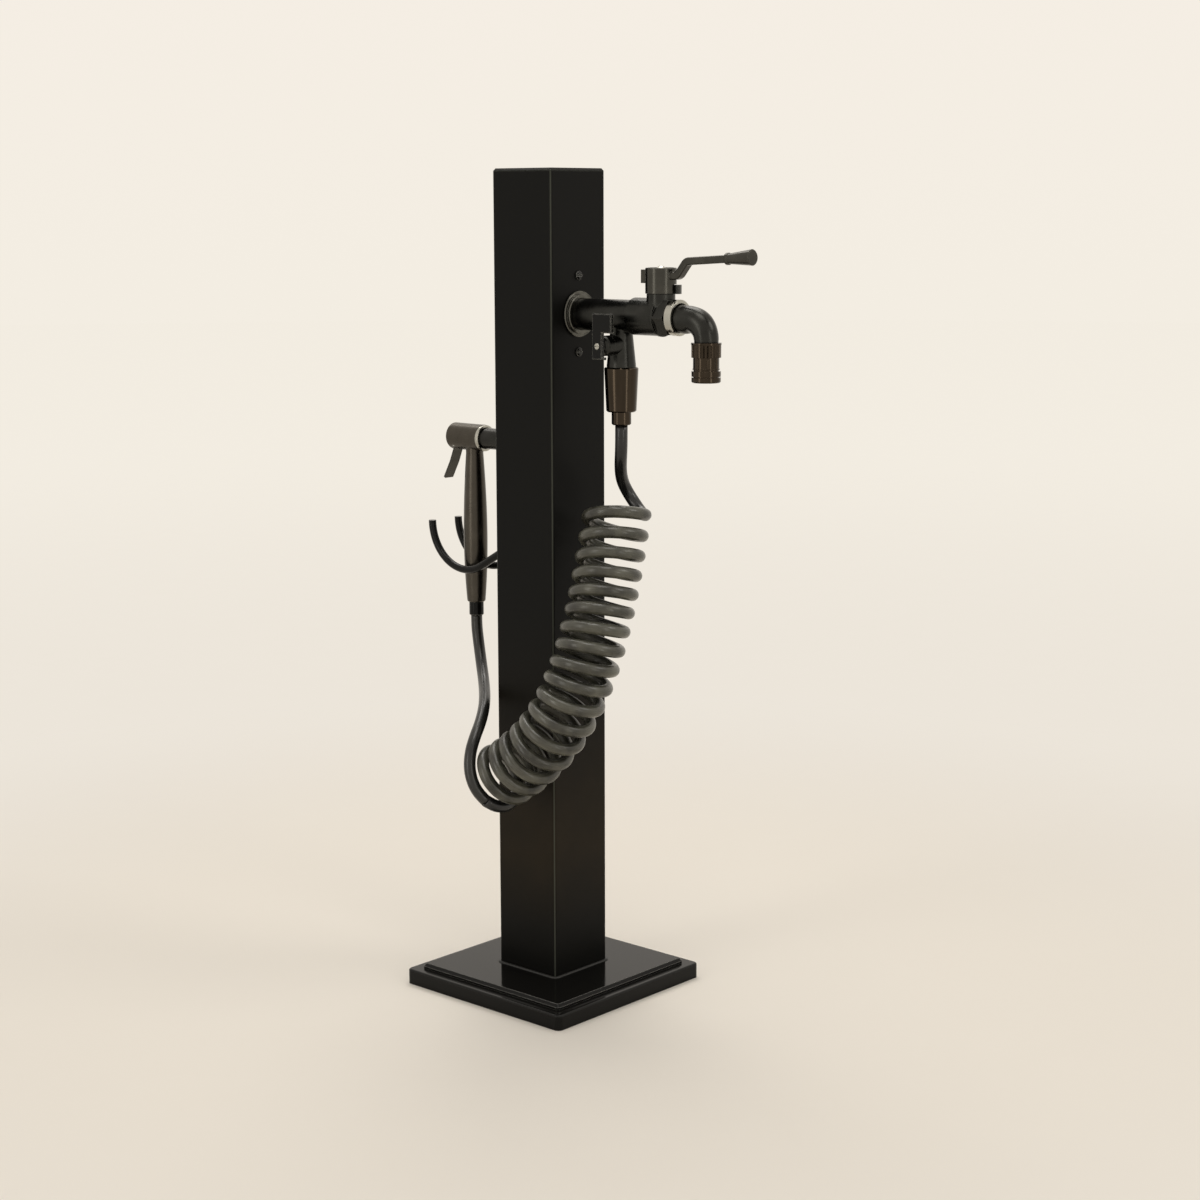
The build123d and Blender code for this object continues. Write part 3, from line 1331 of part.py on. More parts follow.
with BuildPart() as sprayer_handle:
    with BuildSketch(Plane.YZ):
        with BuildLine():
            foot = (handle_reach_back, handle_outline[0][0])
            top = (handle_reach_back, handle_outline[-1][0])
            Line(foot, (handle_reach_back + handle_outline[0][1], handle_outline[0][0]))
            Line((handle_reach_back + handle_outline[0][1], handle_outline[0][0]),
                 (handle_reach_back + handle_outline[1][1], handle_outline[1][0]))
            Spline(*[(handle_reach_back + radius, height) for height, radius in handle_outline[1:]])
            Line((handle_reach_back + handle_outline[-1][1], handle_outline[-1][0]), top)
            Line(top, foot)
        make_face()
    revolve(axis=Axis((0, handle_reach_back, 0), (0, 0, 1)))
    rod(handle_axis, boss_foot, boss_foot + joint_spigot, joint_spigot_r)
    rod(handle_axis, handle_foot, boss_foot + joint_spigot, handle_water_r, Mode.SUBTRACT)
    rod(handle_axis, handle_foot, handle_foot + handle_nut_spigot, sprayer_nut_spigot_r + play, Mode.SUBTRACT)
write(sprayer_handle, "sprayer_handle")

with BuildPart() as sprayer_nut:
    turned(handle_axis, (sprayer_nut_foot, 0), (sprayer_nut_foot, sprayer_nut_r - overrun),
           (sprayer_nut_foot + overrun, sprayer_nut_r), (handle_foot, sprayer_nut_r), (handle_foot, 0))
    rod(handle_axis, handle_foot, handle_foot + handle_nut_spigot, sprayer_nut_spigot_r)
    rod(handle_axis, sprayer_nut_foot, handle_foot + handle_nut_spigot, sprayer_nut_bore, Mode.SUBTRACT)
write(sprayer_nut, "sprayer_nut")
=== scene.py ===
"""Garden standpipe: finishes, hoses, floor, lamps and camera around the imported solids.

Lengths are in metres unless a name ends in _mm. The post stands on the floor at the origin, the tap points
to -Y and the sprayer hangs on the +Y side.
"""

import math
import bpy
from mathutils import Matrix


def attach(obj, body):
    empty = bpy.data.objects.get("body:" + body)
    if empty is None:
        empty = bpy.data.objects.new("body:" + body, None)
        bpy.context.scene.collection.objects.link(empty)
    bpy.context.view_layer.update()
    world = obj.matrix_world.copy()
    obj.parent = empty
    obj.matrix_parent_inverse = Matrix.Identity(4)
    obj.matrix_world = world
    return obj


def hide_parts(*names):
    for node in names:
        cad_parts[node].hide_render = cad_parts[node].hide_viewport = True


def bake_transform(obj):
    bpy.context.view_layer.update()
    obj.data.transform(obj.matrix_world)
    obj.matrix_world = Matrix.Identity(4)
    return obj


bl_info = {
    "name": "Garden standpipe",
    "version": (1, 0, 0),
    "blender": (4, 5, 0),
    "location": "View3D > Sidebar > Standpipe",
    "description": "Dresses a square garden standpipe with its finishes and hoses",
    "category": "Object",
}

import bpy
import numpy as np
from mathutils import Matrix, Vector

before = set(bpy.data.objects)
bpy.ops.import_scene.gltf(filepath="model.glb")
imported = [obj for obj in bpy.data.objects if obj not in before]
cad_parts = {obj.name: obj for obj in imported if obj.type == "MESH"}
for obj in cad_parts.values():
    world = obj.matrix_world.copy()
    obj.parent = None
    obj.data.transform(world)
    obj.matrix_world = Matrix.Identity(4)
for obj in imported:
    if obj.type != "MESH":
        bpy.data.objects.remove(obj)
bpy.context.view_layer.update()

MM = 0.001

# Nodes of the solid model by finish
POST_NODES = ("column_tube", "column_lid")
FOOT_NODES = ("base_plate", "base_cover", "elbow_screws", "diverter_paddle", "hook", "sprayer_nut")
CAST_NODES = ("tap_tee", "valve_body", "spout_elbow", "branch_gland", "holder_peg")
LEVER_NODES = ("main_lever", "trigger")
SPRAYER_NODES = ("sprayer_head", "sprayer_handle")
TURNED_NODES = ("connector_nut", "connector_body", "branch_sleeve", "branch_hose_nut")
BRIGHT_NODES = (
    "spout_locknut", "valve_ball", "lever_screw", "branch_ball", "paddle_screw", "spray_ring",
)
BRASS_NODES = (
    "inlet_connector", "inlet_locknut", "riser_nuts", "riser_olives", "wall_plate_elbow", "valve_insert",
    "valve_stem", "packing_nut", "branch_insert", "branch_stem", "nozzle_seat", "rod_guide", "plunger",
)
COPPER_NODES = ("riser_pipe",)
STEEL_NODES = ("rivet_nuts", "strainer", "hook_screws", "spray_plate", "poppet_spring", "trigger_pin")
PTFE_NODES = ("valve_seats", "stem_packing", "branch_seats", "branch_packing")
RUBBER_NODES = ("cover_seal", "pipe_seal", "connector_washer", "branch_hose_washer", "plunger_seal")

# Hose routes: the run down from the branch tap, the coil's axis and the free tail up to the sprayer
HOSE_TOP = np.array((0.0, -0.097, 0.598))
LEAD_ROUTE = np.array((
    (0.0, -0.0970, 0.5813), (0.0025, -0.0943, 0.5686), (0.0081, -0.0887, 0.5567), (0.0150, -0.0832, 0.5466),
    (0.0216, -0.0796, 0.5380), (0.0269, -0.0792, 0.5303), (0.0303, -0.0821, 0.5225), (0.0316, -0.0880, 0.5148),
    (0.0304, -0.0957, 0.5081), (0.0269, -0.1037, 0.5055),
))
COIL_AXIS = np.array((
    (0.0, -0.090, 0.504), (-0.045, -0.110, 0.407), (-0.077, -0.113, 0.333), (-0.077, -0.075, 0.275),
    (-0.088, 0.002, 0.234),
))
COIL_SIDE = np.array((0.745, 0.667, 0.0))
# The wound part starts and ends at these turns. The slide, in turns, makes up for most of the difference between the
# axis's own parameter, used here, and its length, which the solid uses. The upper turns lie flatter than the solid's
WOUND_FROM = 0.0205
WOUND_TO = 17.2
SLIDE_TURNS = (0.0, 2.5, 5.5, 7.5, 9.5, 12.5, 14.5)
SLIDE = (0.30, 0.62, 1.00, 1.03, 0.90, 0.30, 0.0)
LEAN_TURNS = (0.0, 9.0)
LEAN = (0.62, 1.0)
TAIL_ROUTE = np.array((
    (-0.1151, -0.0056, 0.2280), (-0.1180, -0.0001, 0.2396), (-0.1171, 0.0049, 0.2531),
    (-0.1113, 0.0089, 0.2680), (-0.1011, 0.0125, 0.2811), (-0.0867, 0.0188, 0.2922),
    (-0.0707, 0.0295, 0.3021), (-0.0536, 0.0448, 0.3091), (-0.0367, 0.0620, 0.3145),
    (-0.0230, 0.0770, 0.3215), (-0.0122, 0.0902, 0.3318), (-0.0048, 0.1004, 0.3465),
    (-0.0010, 0.1066, 0.3605), (0.0, 0.109, 0.3715), (0.0, 0.109, 0.382),
))


def linear(colour):
    """Turns an sRGB hex colour into linear RGBA: (c + 0.055) / 1.055 to the power 2.4, or c / 12.92 when dark."""
    shares = [int(colour[place:place + 2], 16) / 255 for place in (1, 3, 5)]
    return [c / 12.92 if c <= 0.04045 else ((c + 0.055) / 1.055) ** 2.4 for c in shares] + [1.0]


def add(tree, kind, values=None, links=None, **settings):
    """Adds a node of this kind with its settings, socket values and links from other sockets."""
    node = tree.nodes.new(kind)
    for name, value in settings.items():
        setattr(node, name, value)
    for socket, value in (values or {}).items():
        node.inputs[socket].default_value = value
    for socket, source in (links or {}).items():
        tree.links.new(source, node.inputs[socket])
    return node


def start(name):
    """A new node material: its tree, Object coordinates and Principled shader joined to the output."""
    material = bpy.data.materials.new(name)
    material.use_nodes = True
    tree = material.node_tree
    tree.nodes.clear()
    shader = add(tree, "ShaderNodeBsdfPrincipled")
    add(tree, "ShaderNodeOutputMaterial", links={"Surface": shader.outputs["BSDF"]})
    place = add(tree, "ShaderNodeTexCoord").outputs["Object"]
    return material, tree, place, shader


def blend_colours(tree, share, first, second):
    """Mixes two colours by a share, each a hex value or a socket, and gives the result's socket."""
    mix = add(tree, "ShaderNodeMix", links={"Factor": share}, data_type="RGBA", clamp_factor=True)
    for socket, colour in (("A", first), ("B", second)):
        target = next(i for i in mix.inputs if i.name == socket and i.type == "RGBA")
        if isinstance(colour, str):
            target.default_value = linear(colour)
        else:
            tree.links.new(colour, target)
    return next(o for o in mix.outputs if o.type == "RGBA")


def worn_and_highlit_edges(tree, radius_mm, reach):
    """Rounds the edges' shading, and gives where they are: one less the cosine between round and plain normal."""
    rounded = add(tree, "ShaderNodeBevel", {"Radius": radius_mm * MM}, samples=4).outputs["Normal"]
    plain = add(tree, "ShaderNodeNewGeometry").outputs["Normal"]
    cosine = add(tree, "ShaderNodeVectorMath", links={0: rounded, 1: plain}, operation="DOT_PRODUCT")
    # The finishes use this mask to paint their edges lighter: wear, and on the post and the enamel a painted
    # highlight
    edge = add(tree, "ShaderNodeMapRange", {"From Min": 1.0, "From Max": 1.0 - reach},
               {"Value": cosine.outputs["Value"]}).outputs["Result"]
    return rounded, edge


def seeing_rays(tree):
    """Gives 1 for the rays that see the background: those of the camera, of gloss and of transmission."""
    ray = add(tree, "ShaderNodeLightPath").outputs
    seen = add(tree, "ShaderNodeMath", links={0: ray["Is Camera Ray"], 1: ray["Is Glossy Ray"]},
               operation="MAXIMUM").outputs["Value"]
    return add(tree, "ShaderNodeMath", links={0: seen, 1: ray["Is Transmission Ray"]},
               operation="MAXIMUM").outputs["Value"]


def powder_coat(look):
    """Polyester powder coat baked on a steel tube: satin black with a faint orange peel, and a warm band low down
    that is partly dust and partly a painted reflection of the floor.
    """
    material, tree, place, shader = start("powder coat, satin black")
    # The peel's waves are about 1 mm apart, drawn at 2.5 mm so that they show
    peel = add(tree, "ShaderNodeTexNoise", {"Scale": 1 / (2.5 * MM), "Detail": 2.0}, {"Vector": place})
    # Handling marks and rain haze in patches about 90 mm across
    haze = add(tree, "ShaderNodeTexNoise", {"Scale": 1 / (90 * MM), "Detail": 5.0}, {"Vector": place})
    # Painted reflection: a warm tone from 0.42 m down, in patches, stands for dust and for the floor's reflection in
    # the low gloss; it fades out again between 0.16 and 0.06 m
    height = add(tree, "ShaderNodeSeparateXYZ", links={"Vector": place}).outputs["Z"]
    dusty = add(tree, "ShaderNodeMapRange", {"From Min": 0.42, "From Max": 0.02, "To Max": 0.55},
                {"Value": height}, interpolation_type="SMOOTHSTEP").outputs["Result"]
    clear = add(tree, "ShaderNodeMapRange", {"From Min": 0.06, "From Max": 0.16}, {"Value": height},
                interpolation_type="SMOOTHSTEP").outputs["Result"]
    dusty = add(tree, "ShaderNodeMath", links={0: dusty, 1: clear}, operation="MULTIPLY").outputs["Value"]
    patch = add(tree, "ShaderNodeMath", links={0: dusty, 1: haze.outputs["Fac"]}, operation="MULTIPLY")
    rounded, edge = worn_and_highlit_edges(tree, 1.0, 0.25)
    coat = blend_colours(tree, patch.outputs["Value"], look.post_hex, look.dust_and_floor_reflection_hex)
    # Painted highlight: a pale line is painted along the tube's four long edges, where their rounded corners catch
    # the light; half the rounded-edge mask adds a little wear
    place_parts = add(tree, "ShaderNodeSeparateXYZ", links={"Vector": place}).outputs
    outward = [add(tree, "ShaderNodeMath", links={0: place_parts[axis]}, operation="ABSOLUTE").outputs["Value"]
               for axis in ("X", "Y")]
    corner = add(tree, "ShaderNodeMath", links={0: outward[0], 1: outward[1]}, operation="MINIMUM")
    line = add(tree, "ShaderNodeMapRange", {"From Min": 38.2 * MM, "From Max": 38.9 * MM, "To Max": 0.6},
               {"Value": corner.outputs["Value"]}).outputs["Result"]
    shade = add(tree, "ShaderNodeMath", {1: 0.5}, {0: edge}, operation="MULTIPLY").outputs["Value"]
    shade = add(tree, "ShaderNodeMath", links={0: shade, 1: line}, operation="MAXIMUM").outputs["Value"]
    # The edges are painted pale: a painted highlight, with some wear
    tree.links.new(blend_colours(tree, shade, coat, "#595b52"), shader.inputs["Base Color"])
    rough = add(tree, "ShaderNodeMapRange", {"To Min": 0.36, "To Max": 0.5}, {"Value": haze.outputs["Fac"]})
    tree.links.new(rough.outputs["Result"], shader.inputs["Roughness"])
    shader.inputs["Specular IOR Level"].default_value = 0.1
    bump = add(tree, "ShaderNodeBump", {"Distance": 0.02 * MM, "Strength": 0.8},
               {"Height": peel.outputs["Fac"], "Normal": rounded})
    tree.links.new(bump.outputs["Normal"], shader.inputs["Normal"])
    return material


def gloss_enamel(look):
    """Stoved gloss enamel on plate and rod: near black, with a long soft ripple and a painted highlight along its
    edges.
    """
    material, tree, place, shader = start("stoved enamel, gloss black")
    # Ripple of the flowed coat, 4 mm apart
    ripple = add(tree, "ShaderNodeTexNoise", {"Scale": 1 / (4 * MM), "Detail": 1.0}, {"Vector": place})
    # Dust specks about 1.2 mm across lie on the level faces
    specks = add(tree, "ShaderNodeTexNoise", {"Scale": 1 / (1.2 * MM), "Detail": 3.0}, {"Vector": place})
    up = add(tree, "ShaderNodeSeparateXYZ",
             links={"Vector": add(tree, "ShaderNodeNewGeometry").outputs["Normal"]}).outputs["Z"]
    level = add(tree, "ShaderNodeMapRange", {"From Min": 0.8, "To Max": 0.03}, {"Value": up}).outputs["Result"]
    lying = add(tree, "ShaderNodeMath", links={0: level, 1: specks.outputs["Fac"]}, operation="MULTIPLY")
    rounded, edge = worn_and_highlit_edges(tree, 1.1, 0.2)
    dusty = blend_colours(tree, lying.outputs["Value"], look.foot_hex, "#6f675a")
    # Painted highlight: the edges are painted pale grey as a rim of light, with some rubbing wear
    tree.links.new(blend_colours(tree, edge, dusty, "#a3a29b"), shader.inputs["Base Color"])
    rough = add(tree, "ShaderNodeMapRange", {"From Min": 0.3, "From Max": 0.7, "To Min": 0.07, "To Max": 0.14},
                {"Value": specks.outputs["Fac"]})
    tree.links.new(rough.outputs["Result"], shader.inputs["Roughness"])
    shader.inputs["Specular IOR Level"].default_value = 0.15
    bump = add(tree, "ShaderNodeBump", {"Distance": 0.03 * MM, "Strength": 0.25},
               {"Height": ripple.outputs["Fac"], "Normal": rounded})
    tree.links.new(bump.outputs["Normal"], shader.inputs["Normal"])
    return material


def plated_casting(name, colour, rubbed, grit_mm, rough, depth):
    """Dark nickel on blasted brass castings: a metal whose grit scatters the light, paler where hands rub it."""
    material, tree, place, shader = start(name)
    grit = add(tree, "ShaderNodeTexNoise", {"Scale": 1 / (grit_mm * MM), "Detail": 4.0, "Roughness": 0.6},
               {"Vector": place})
    # Plating varies in patches about 14 mm across
    patch = add(tree, "ShaderNodeTexNoise", {"Scale": 1 / (14 * MM), "Detail": 3.0}, {"Vector": place})
    rounded, edge = worn_and_highlit_edges(tree, 0.6, 0.3)
    warm = blend_colours(tree, patch.outputs["Fac"], colour, rubbed)
    light = add(tree, "ShaderNodeMath", {1: 0.35}, {0: patch.outputs["Fac"]}, operation="MULTIPLY")
    tone = blend_colours(tree, light.outputs["Value"], colour, warm)
    tree.links.new(blend_colours(tree, edge, tone, rubbed), shader.inputs["Base Color"])
    gloss = add(tree, "ShaderNodeMapRange",
                {"From Min": 0.3, "From Max": 0.7, "To Min": rough[0], "To Max": rough[1]},
                {"Value": patch.outputs["Fac"]})
    tree.links.new(gloss.outputs["Result"], shader.inputs["Roughness"])
    shader.inputs["Metallic"].default_value = 1.0
    bump = add(tree, "ShaderNodeBump", {"Distance": 0.025 * MM, "Strength": depth},
               {"Height": grit.outputs["Fac"], "Normal": rounded})
    tree.links.new(bump.outputs["Normal"], shader.inputs["Normal"])
    return material


def turned_metal(name, colour, polish_and_reflection_streak, ring_mm, rough, axis="Z"):
    """Metal turned on a lathe: tool marks 2 pi ring_mm apart across its axis, and lighter streaks along it that are
    partly polish and partly a painted reflection.
    """
    material, tree, place, shader = start(name)
    marks = add(tree, "ShaderNodeTexWave", {"Scale": 1 / (ring_mm * MM) / 20, "Distortion": 1.2, "Detail": 2.0},
                {"Vector": place}, wave_type="BANDS", bands_direction=axis)
    # Streaks of the polish, about 60 mm long and 7 mm wide, painted lighter, partly as painted reflection bands
    long_way = {"X": (8, 70, 70), "Y": (70, 8, 70), "Z": (70, 70, 8)}[axis]
    drawn = add(tree, "ShaderNodeMapping", {"Scale": long_way}, {"Vector": place}).outputs["Vector"]
    polish = add(tree, "ShaderNodeTexNoise", {"Scale": 2.0, "Detail": 3.0}, {"Vector": drawn})
    rounded, edge = worn_and_highlit_edges(tree, 0.5, 0.3)
    tone = blend_colours(tree, polish.outputs["Fac"], colour, polish_and_reflection_streak)
    tree.links.new(blend_colours(tree, edge, tone, polish_and_reflection_streak), shader.inputs["Base Color"])
    gloss = add(tree, "ShaderNodeMapRange",
                {"From Min": 0.3, "From Max": 0.7, "To Min": rough[0], "To Max": rough[1]},
                {"Value": polish.outputs["Fac"]})
    tree.links.new(gloss.outputs["Result"], shader.inputs["Roughness"])
    shader.inputs["Metallic"].default_value = 1.0
    bump = add(tree, "ShaderNodeBump", {"Distance": 0.015 * MM, "Strength": 0.6},
               {"Height": marks.outputs["Fac"], "Normal": rounded})
    tree.links.new(bump.outputs["Normal"], shader.inputs["Normal"])
    return material


def moulded_polymer(name, colour, shade, roughness, grain_mm):
    """Moulded seal material, PTFE or rubber: no metal, a soft gloss and a fine mould grain."""
    material, tree, place, shader = start(name)
    grain = add(tree, "ShaderNodeTexNoise", {"Scale": 1 / (grain_mm * MM), "Detail": 3.0}, {"Vector": place})
    tree.links.new(blend_colours(tree, grain.outputs["Fac"], colour, shade), shader.inputs["Base Color"])
    rough = add(tree, "ShaderNodeMapRange", {"To Min": roughness - 0.06, "To Max": roughness + 0.06},
                {"Value": grain.outputs["Fac"]})
    tree.links.new(rough.outputs["Result"], shader.inputs["Roughness"])
    bump = add(tree, "ShaderNodeBump", {"Distance": 0.03 * MM}, {"Height": grain.outputs["Fac"]})
    tree.links.new(bump.outputs["Normal"], shader.inputs["Normal"])
    return material


def extruded_hose(name, colour, bloom, rough, plain=None, ends=(0.0, 0.0)):
    """Extruded polyurethane or rubber hose: die lines run along it, and a grey bloom lies on it in patches.

    Its own map has the share of the way round as u and the metres along the hose as v. Where a plain colour is
    given, the hose has it before the first and after the second of its ends, in metres, and it fades in over
    60 and 120 mm.
    """
    material, tree, place, shader = start(name)
    own = add(tree, "ShaderNodeUVMap", uv_map="hose").outputs["UV"]
    # 16 die lines round the hose that hold for about 30 mm along it
    laid = add(tree, "ShaderNodeMapping", {"Scale": (16, 1 / (30 * MM), 1)}, {"Vector": own}).outputs["Vector"]
    lines = add(tree, "ShaderNodeTexNoise", {"Scale": 1.0, "Detail": 2.0}, {"Vector": laid})
    # Bloom and handling dirt in patches about 20 mm across
    patch = add(tree, "ShaderNodeTexNoise", {"Scale": 1 / (20 * MM), "Detail": 4.0}, {"Vector": place})
    sharp = add(tree, "ShaderNodeMapRange", {"From Min": 0.35, "From Max": 0.7},
                {"Value": patch.outputs["Fac"]}).outputs["Result"]
    tone = blend_colours(tree, sharp, colour, bloom)
    if plain:
        metres = add(tree, "ShaderNodeSeparateXYZ", links={"Vector": own}).outputs["Y"]
        first, last = [add(tree, "ShaderNodeMapRange", {"From Min": end, "From Max": end + reach}, {"Value": metres},
                           interpolation_type="SMOOTHSTEP").outputs["Result"]
                       for end, reach in zip(ends, (-0.06, 0.12))]
        bare = add(tree, "ShaderNodeMath", links={0: first, 1: last}, operation="MAXIMUM").outputs["Value"]
        tone = blend_colours(tree, bare, tone, plain)
    tree.links.new(tone, shader.inputs["Base Color"])
    gloss = add(tree, "ShaderNodeMapRange",
                {"From Min": 0.3, "From Max": 0.7, "To Min": rough[0], "To Max": rough[1]},
                {"Value": lines.outputs["Fac"]})
    tree.links.new(gloss.outputs["Result"], shader.inputs["Roughness"])
    bump = add(tree, "ShaderNodeBump", {"Distance": 0.05 * MM, "Strength": 0.6},
               {"Height": lines.outputs["Fac"]})
    tree.links.new(bump.outputs["Normal"], shader.inputs["Normal"])
    return material


def dress(names, material):
    """Gives these solids of the frame this material."""
    for name in names:
        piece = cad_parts[name]
        if not piece.material_slots:
            piece.data.materials.append(material)
        for slot in piece.material_slots:
            slot.material = material


def bezier(points, share):
    """Place and unit heading on a Bezier curve: control points weighted by binomial terms, at an array of shares."""
    order = len(points) - 1
    share = np.asarray(share, float)[:, None]

    def weigh(control, degree):
        return sum(math.comb(degree, i) * share ** i * (1 - share) ** (degree - i) * control[i]
                   for i in range(degree + 1))

    heading = weigh(np.diff(points, axis=0) * order, order - 1)
    return weigh(points, order), heading / np.linalg.norm(heading, axis=1)[:, None]


def coil_places(turns, coil_turns, radius):
    """Centres of the wound hose: axis point + radius (right cos 2 pi turn - back sin 2 pi turn).

    The share of the axis is (turn - slide) / coil turns, and the turns' planes keep only a share of its lean.
    """
    turns = np.asarray(turns, float)
    centre, along = bezier(COIL_AXIS, (turns - np.interp(turns, SLIDE_TURNS, SLIDE)) / coil_turns)
    side = COIL_SIDE / np.linalg.norm(COIL_SIDE)
    along = along - np.outer((along @ side) * (1 - np.interp(turns, LEAN_TURNS, LEAN)), side)
    along /= np.linalg.norm(along, axis=1)[:, None]
    right = np.cross(along, COIL_SIDE)
    right /= np.linalg.norm(right, axis=1)[:, None]
    back = np.cross(right, along)
    angle = (2 * math.pi * turns)[:, None]
    return centre + (right * np.cos(angle) - back * np.sin(angle)) * radius


def route(name, points, steps):
    """Points along a smooth hose line: those of a NURBS spline of order 3 whose control points these are."""
    curve = bpy.data.curves.new(name, "CURVE")
    curve.dimensions = "3D"
    curve.resolution_u = steps
    spline = curve.splines.new("NURBS")
    spline.points.add(len(points) - 1)
    spline.points.foreach_set("co", np.column_stack((points, np.ones(len(points)))).ravel())
    spline.order_u = 3
    spline.use_endpoint_u = True
    holder = bpy.data.objects.new(name, curve)
    bpy.context.scene.collection.objects.link(holder)
    bpy.context.view_layer.update()
    mesh = bpy.data.meshes.new_from_object(holder)
    places = np.empty(len(mesh.vertices) * 3)
    mesh.vertices.foreach_get("co", places)
    bpy.data.objects.remove(holder)
    bpy.data.curves.remove(curve)
    bpy.data.meshes.remove(mesh)
    return places.reshape(-1, 3)


def hose(name, path, radius, sides, material):
    """Tube: centre(v) + radius (across cos u + over sin u), both square to the path, with closed ends.

    across is carried along the path, and each step takes out the part of it that lies along the new heading.
    """
    heading = np.gradient(path, axis=0)
    heading /= np.linalg.norm(heading, axis=1)[:, None]
    across = np.empty_like(path)
    side = np.cross(heading[0], (0.3, 0.9, 0.2))
    for station, forward in enumerate(heading):
        side = side - forward * side.dot(forward)
        side /= np.linalg.norm(side)
        across[station] = side
    over = np.cross(heading, across)
    angle = np.linspace(0, 2 * math.pi, sides, endpoint=False)[None, :, None]
    rings = path[:, None] + radius * (across[:, None] * np.cos(angle) + over[:, None] * np.sin(angle))
    count = len(path)
    points = np.concatenate((rings.reshape(-1, 3), path[:1], path[-1:]))
    row, column = np.meshgrid(np.arange(count - 1), np.arange(sides), indexing="ij")
    after = (column + 1) % sides
    walls = np.stack((row * sides + column, row * sides + after, (row + 1) * sides + after,
                      (row + 1) * sides + column), axis=-1).reshape(-1, 4)
    ring = np.arange(sides)
    low = np.stack((np.full(sides, count * sides), (ring + 1) % sides, ring), axis=-1)
    high = np.stack((np.full(sides, count * sides + 1), (count - 1) * sides + ring,
                     (count - 1) * sides + (ring + 1) % sides), axis=-1)
    mesh = bpy.data.meshes.new(name)
    mesh.from_pydata(points.tolist(), [], walls.tolist() + low.tolist() + high.tolist())
    mesh.update()
    travelled = np.concatenate(([0.0], np.cumsum(np.linalg.norm(np.diff(path, axis=0), axis=1))))
    round_share = np.stack((column, column + 1, column + 1, column), axis=-1) / sides
    along = travelled[np.stack((row, row, row + 1, row + 1), axis=-1)]
    wall_map = np.stack((round_share, along), axis=-1).reshape(-1)
    layer = mesh.uv_layers.new(name="hose")
    layer.data.foreach_set("uv", np.concatenate((wall_map, np.zeros(sides * 12))))
    mesh.polygons.foreach_set("use_smooth", np.ones(len(mesh.polygons), bool))
    mesh.materials.append(material)
    piece = bpy.data.objects.new(name, mesh)
    bpy.context.scene.collection.objects.link(piece)
    return piece, float(travelled[-1])


class StandpipeHoses(bpy.types.PropertyGroup):
    """Sizes of the hoses"""

    coil_diameter: bpy.props.FloatProperty(
        name="Coil hose", description="Outside diameter of the coiled hose", default=12.5 * MM, min=MM,
        unit="LENGTH")
    tail_diameter: bpy.props.FloatProperty(
        name="Tail hose", description="Outside diameter of the free hose", default=12.0 * MM, min=MM,
        unit="LENGTH")
    coil_radius: bpy.props.FloatProperty(
        name="Coil radius", description="From the coil's axis to the middle of the hose", default=28.6 * MM,
        min=MM, unit="LENGTH")
    coil_turns: bpy.props.FloatProperty(
        name="Turns", description="Turns of the coil", default=17.3, min=1.0)
    points_per_turn: bpy.props.IntProperty(
        name="Points per turn", description="Route points on each turn", default=16, min=12)


class StandpipeLook(bpy.types.PropertyGroup):
    """Colours of the finishes, as sRGB hex values"""

    post_hex: bpy.props.StringProperty(name="Post", description="Powder coat of the post", default="#0a0a08")
    # The dust colour is also a painted reflection of the warm floor, low on the post
    dust_and_floor_reflection_hex: bpy.props.StringProperty(name="Dust", description="Dust and a painted floor reflection near the ground", default="#4a3d28")
    foot_hex: bpy.props.StringProperty(name="Foot", description="Enamel of foot and hook", default="#0d0d0c")
    tap_hex: bpy.props.StringProperty(name="Tap", description="Dark nickel of the castings", default="#2d2d2b")
    bronze_hex: bpy.props.StringProperty(name="Outlets", description="Polished outlet parts", default="#2b2620")
    coil_hex: bpy.props.StringProperty(name="Coil", description="Polyurethane of the coil", default="#2f2e27")
    tail_hex: bpy.props.StringProperty(name="Tail", description="Rubber of the plain hose", default="#171716")
    floor_hex: bpy.props.StringProperty(name="Floor", description="Floor by the post", default="#ece5da")
    far_hex: bpy.props.StringProperty(name="Backdrop", description="Floor and wall far off", default="#f3ede2")
    sky_hex: bpy.props.StringProperty(name="Upper backdrop", description="Top of the wall", default="#f5eee4")


class StandpipePiece:
    """What the operators share: they run on the loaded frame and can be undone."""

    bl_options = {"REGISTER", "UNDO"}


class STANDPIPE_OT_coil_hose(StandpipePiece, bpy.types.Operator):
    """Hose from the branch tap down into its coil"""

    bl_idname = "standpipe.coil_hose"
    bl_label = "Coiled hose"

    def execute(self, context):
        sizes, look = context.scene.standpipe_hoses, context.scene.standpipe_look
        turns, share = sizes.coil_turns, 1 / sizes.points_per_turn
        # An order 3 spline runs inside its control points by the cosine of half a step
        radius = sizes.coil_radius / math.cos(math.pi * share)
        wound = coil_places(np.arange(WOUND_FROM, WOUND_TO - share / 2, share), turns, radius)
        end = coil_places([WOUND_TO], turns, sizes.coil_radius)
        path = route("coil_route", np.concatenate((HOSE_TOP[None], LEAD_ROUTE, wound, end)), 4)
        material = extruded_hose("polyurethane hose, olive grey", look.coil_hex, "#5b5a4f", (0.22, 0.36),
                                 look.tail_hex, (0.16, 3.1))
        piece, length = hose("coiled_hose", path, sizes.coil_diameter / 2, 20, material)
        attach(piece, "stand")
        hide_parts("upper_hose", "coil_hose")
        return {"FINISHED"}


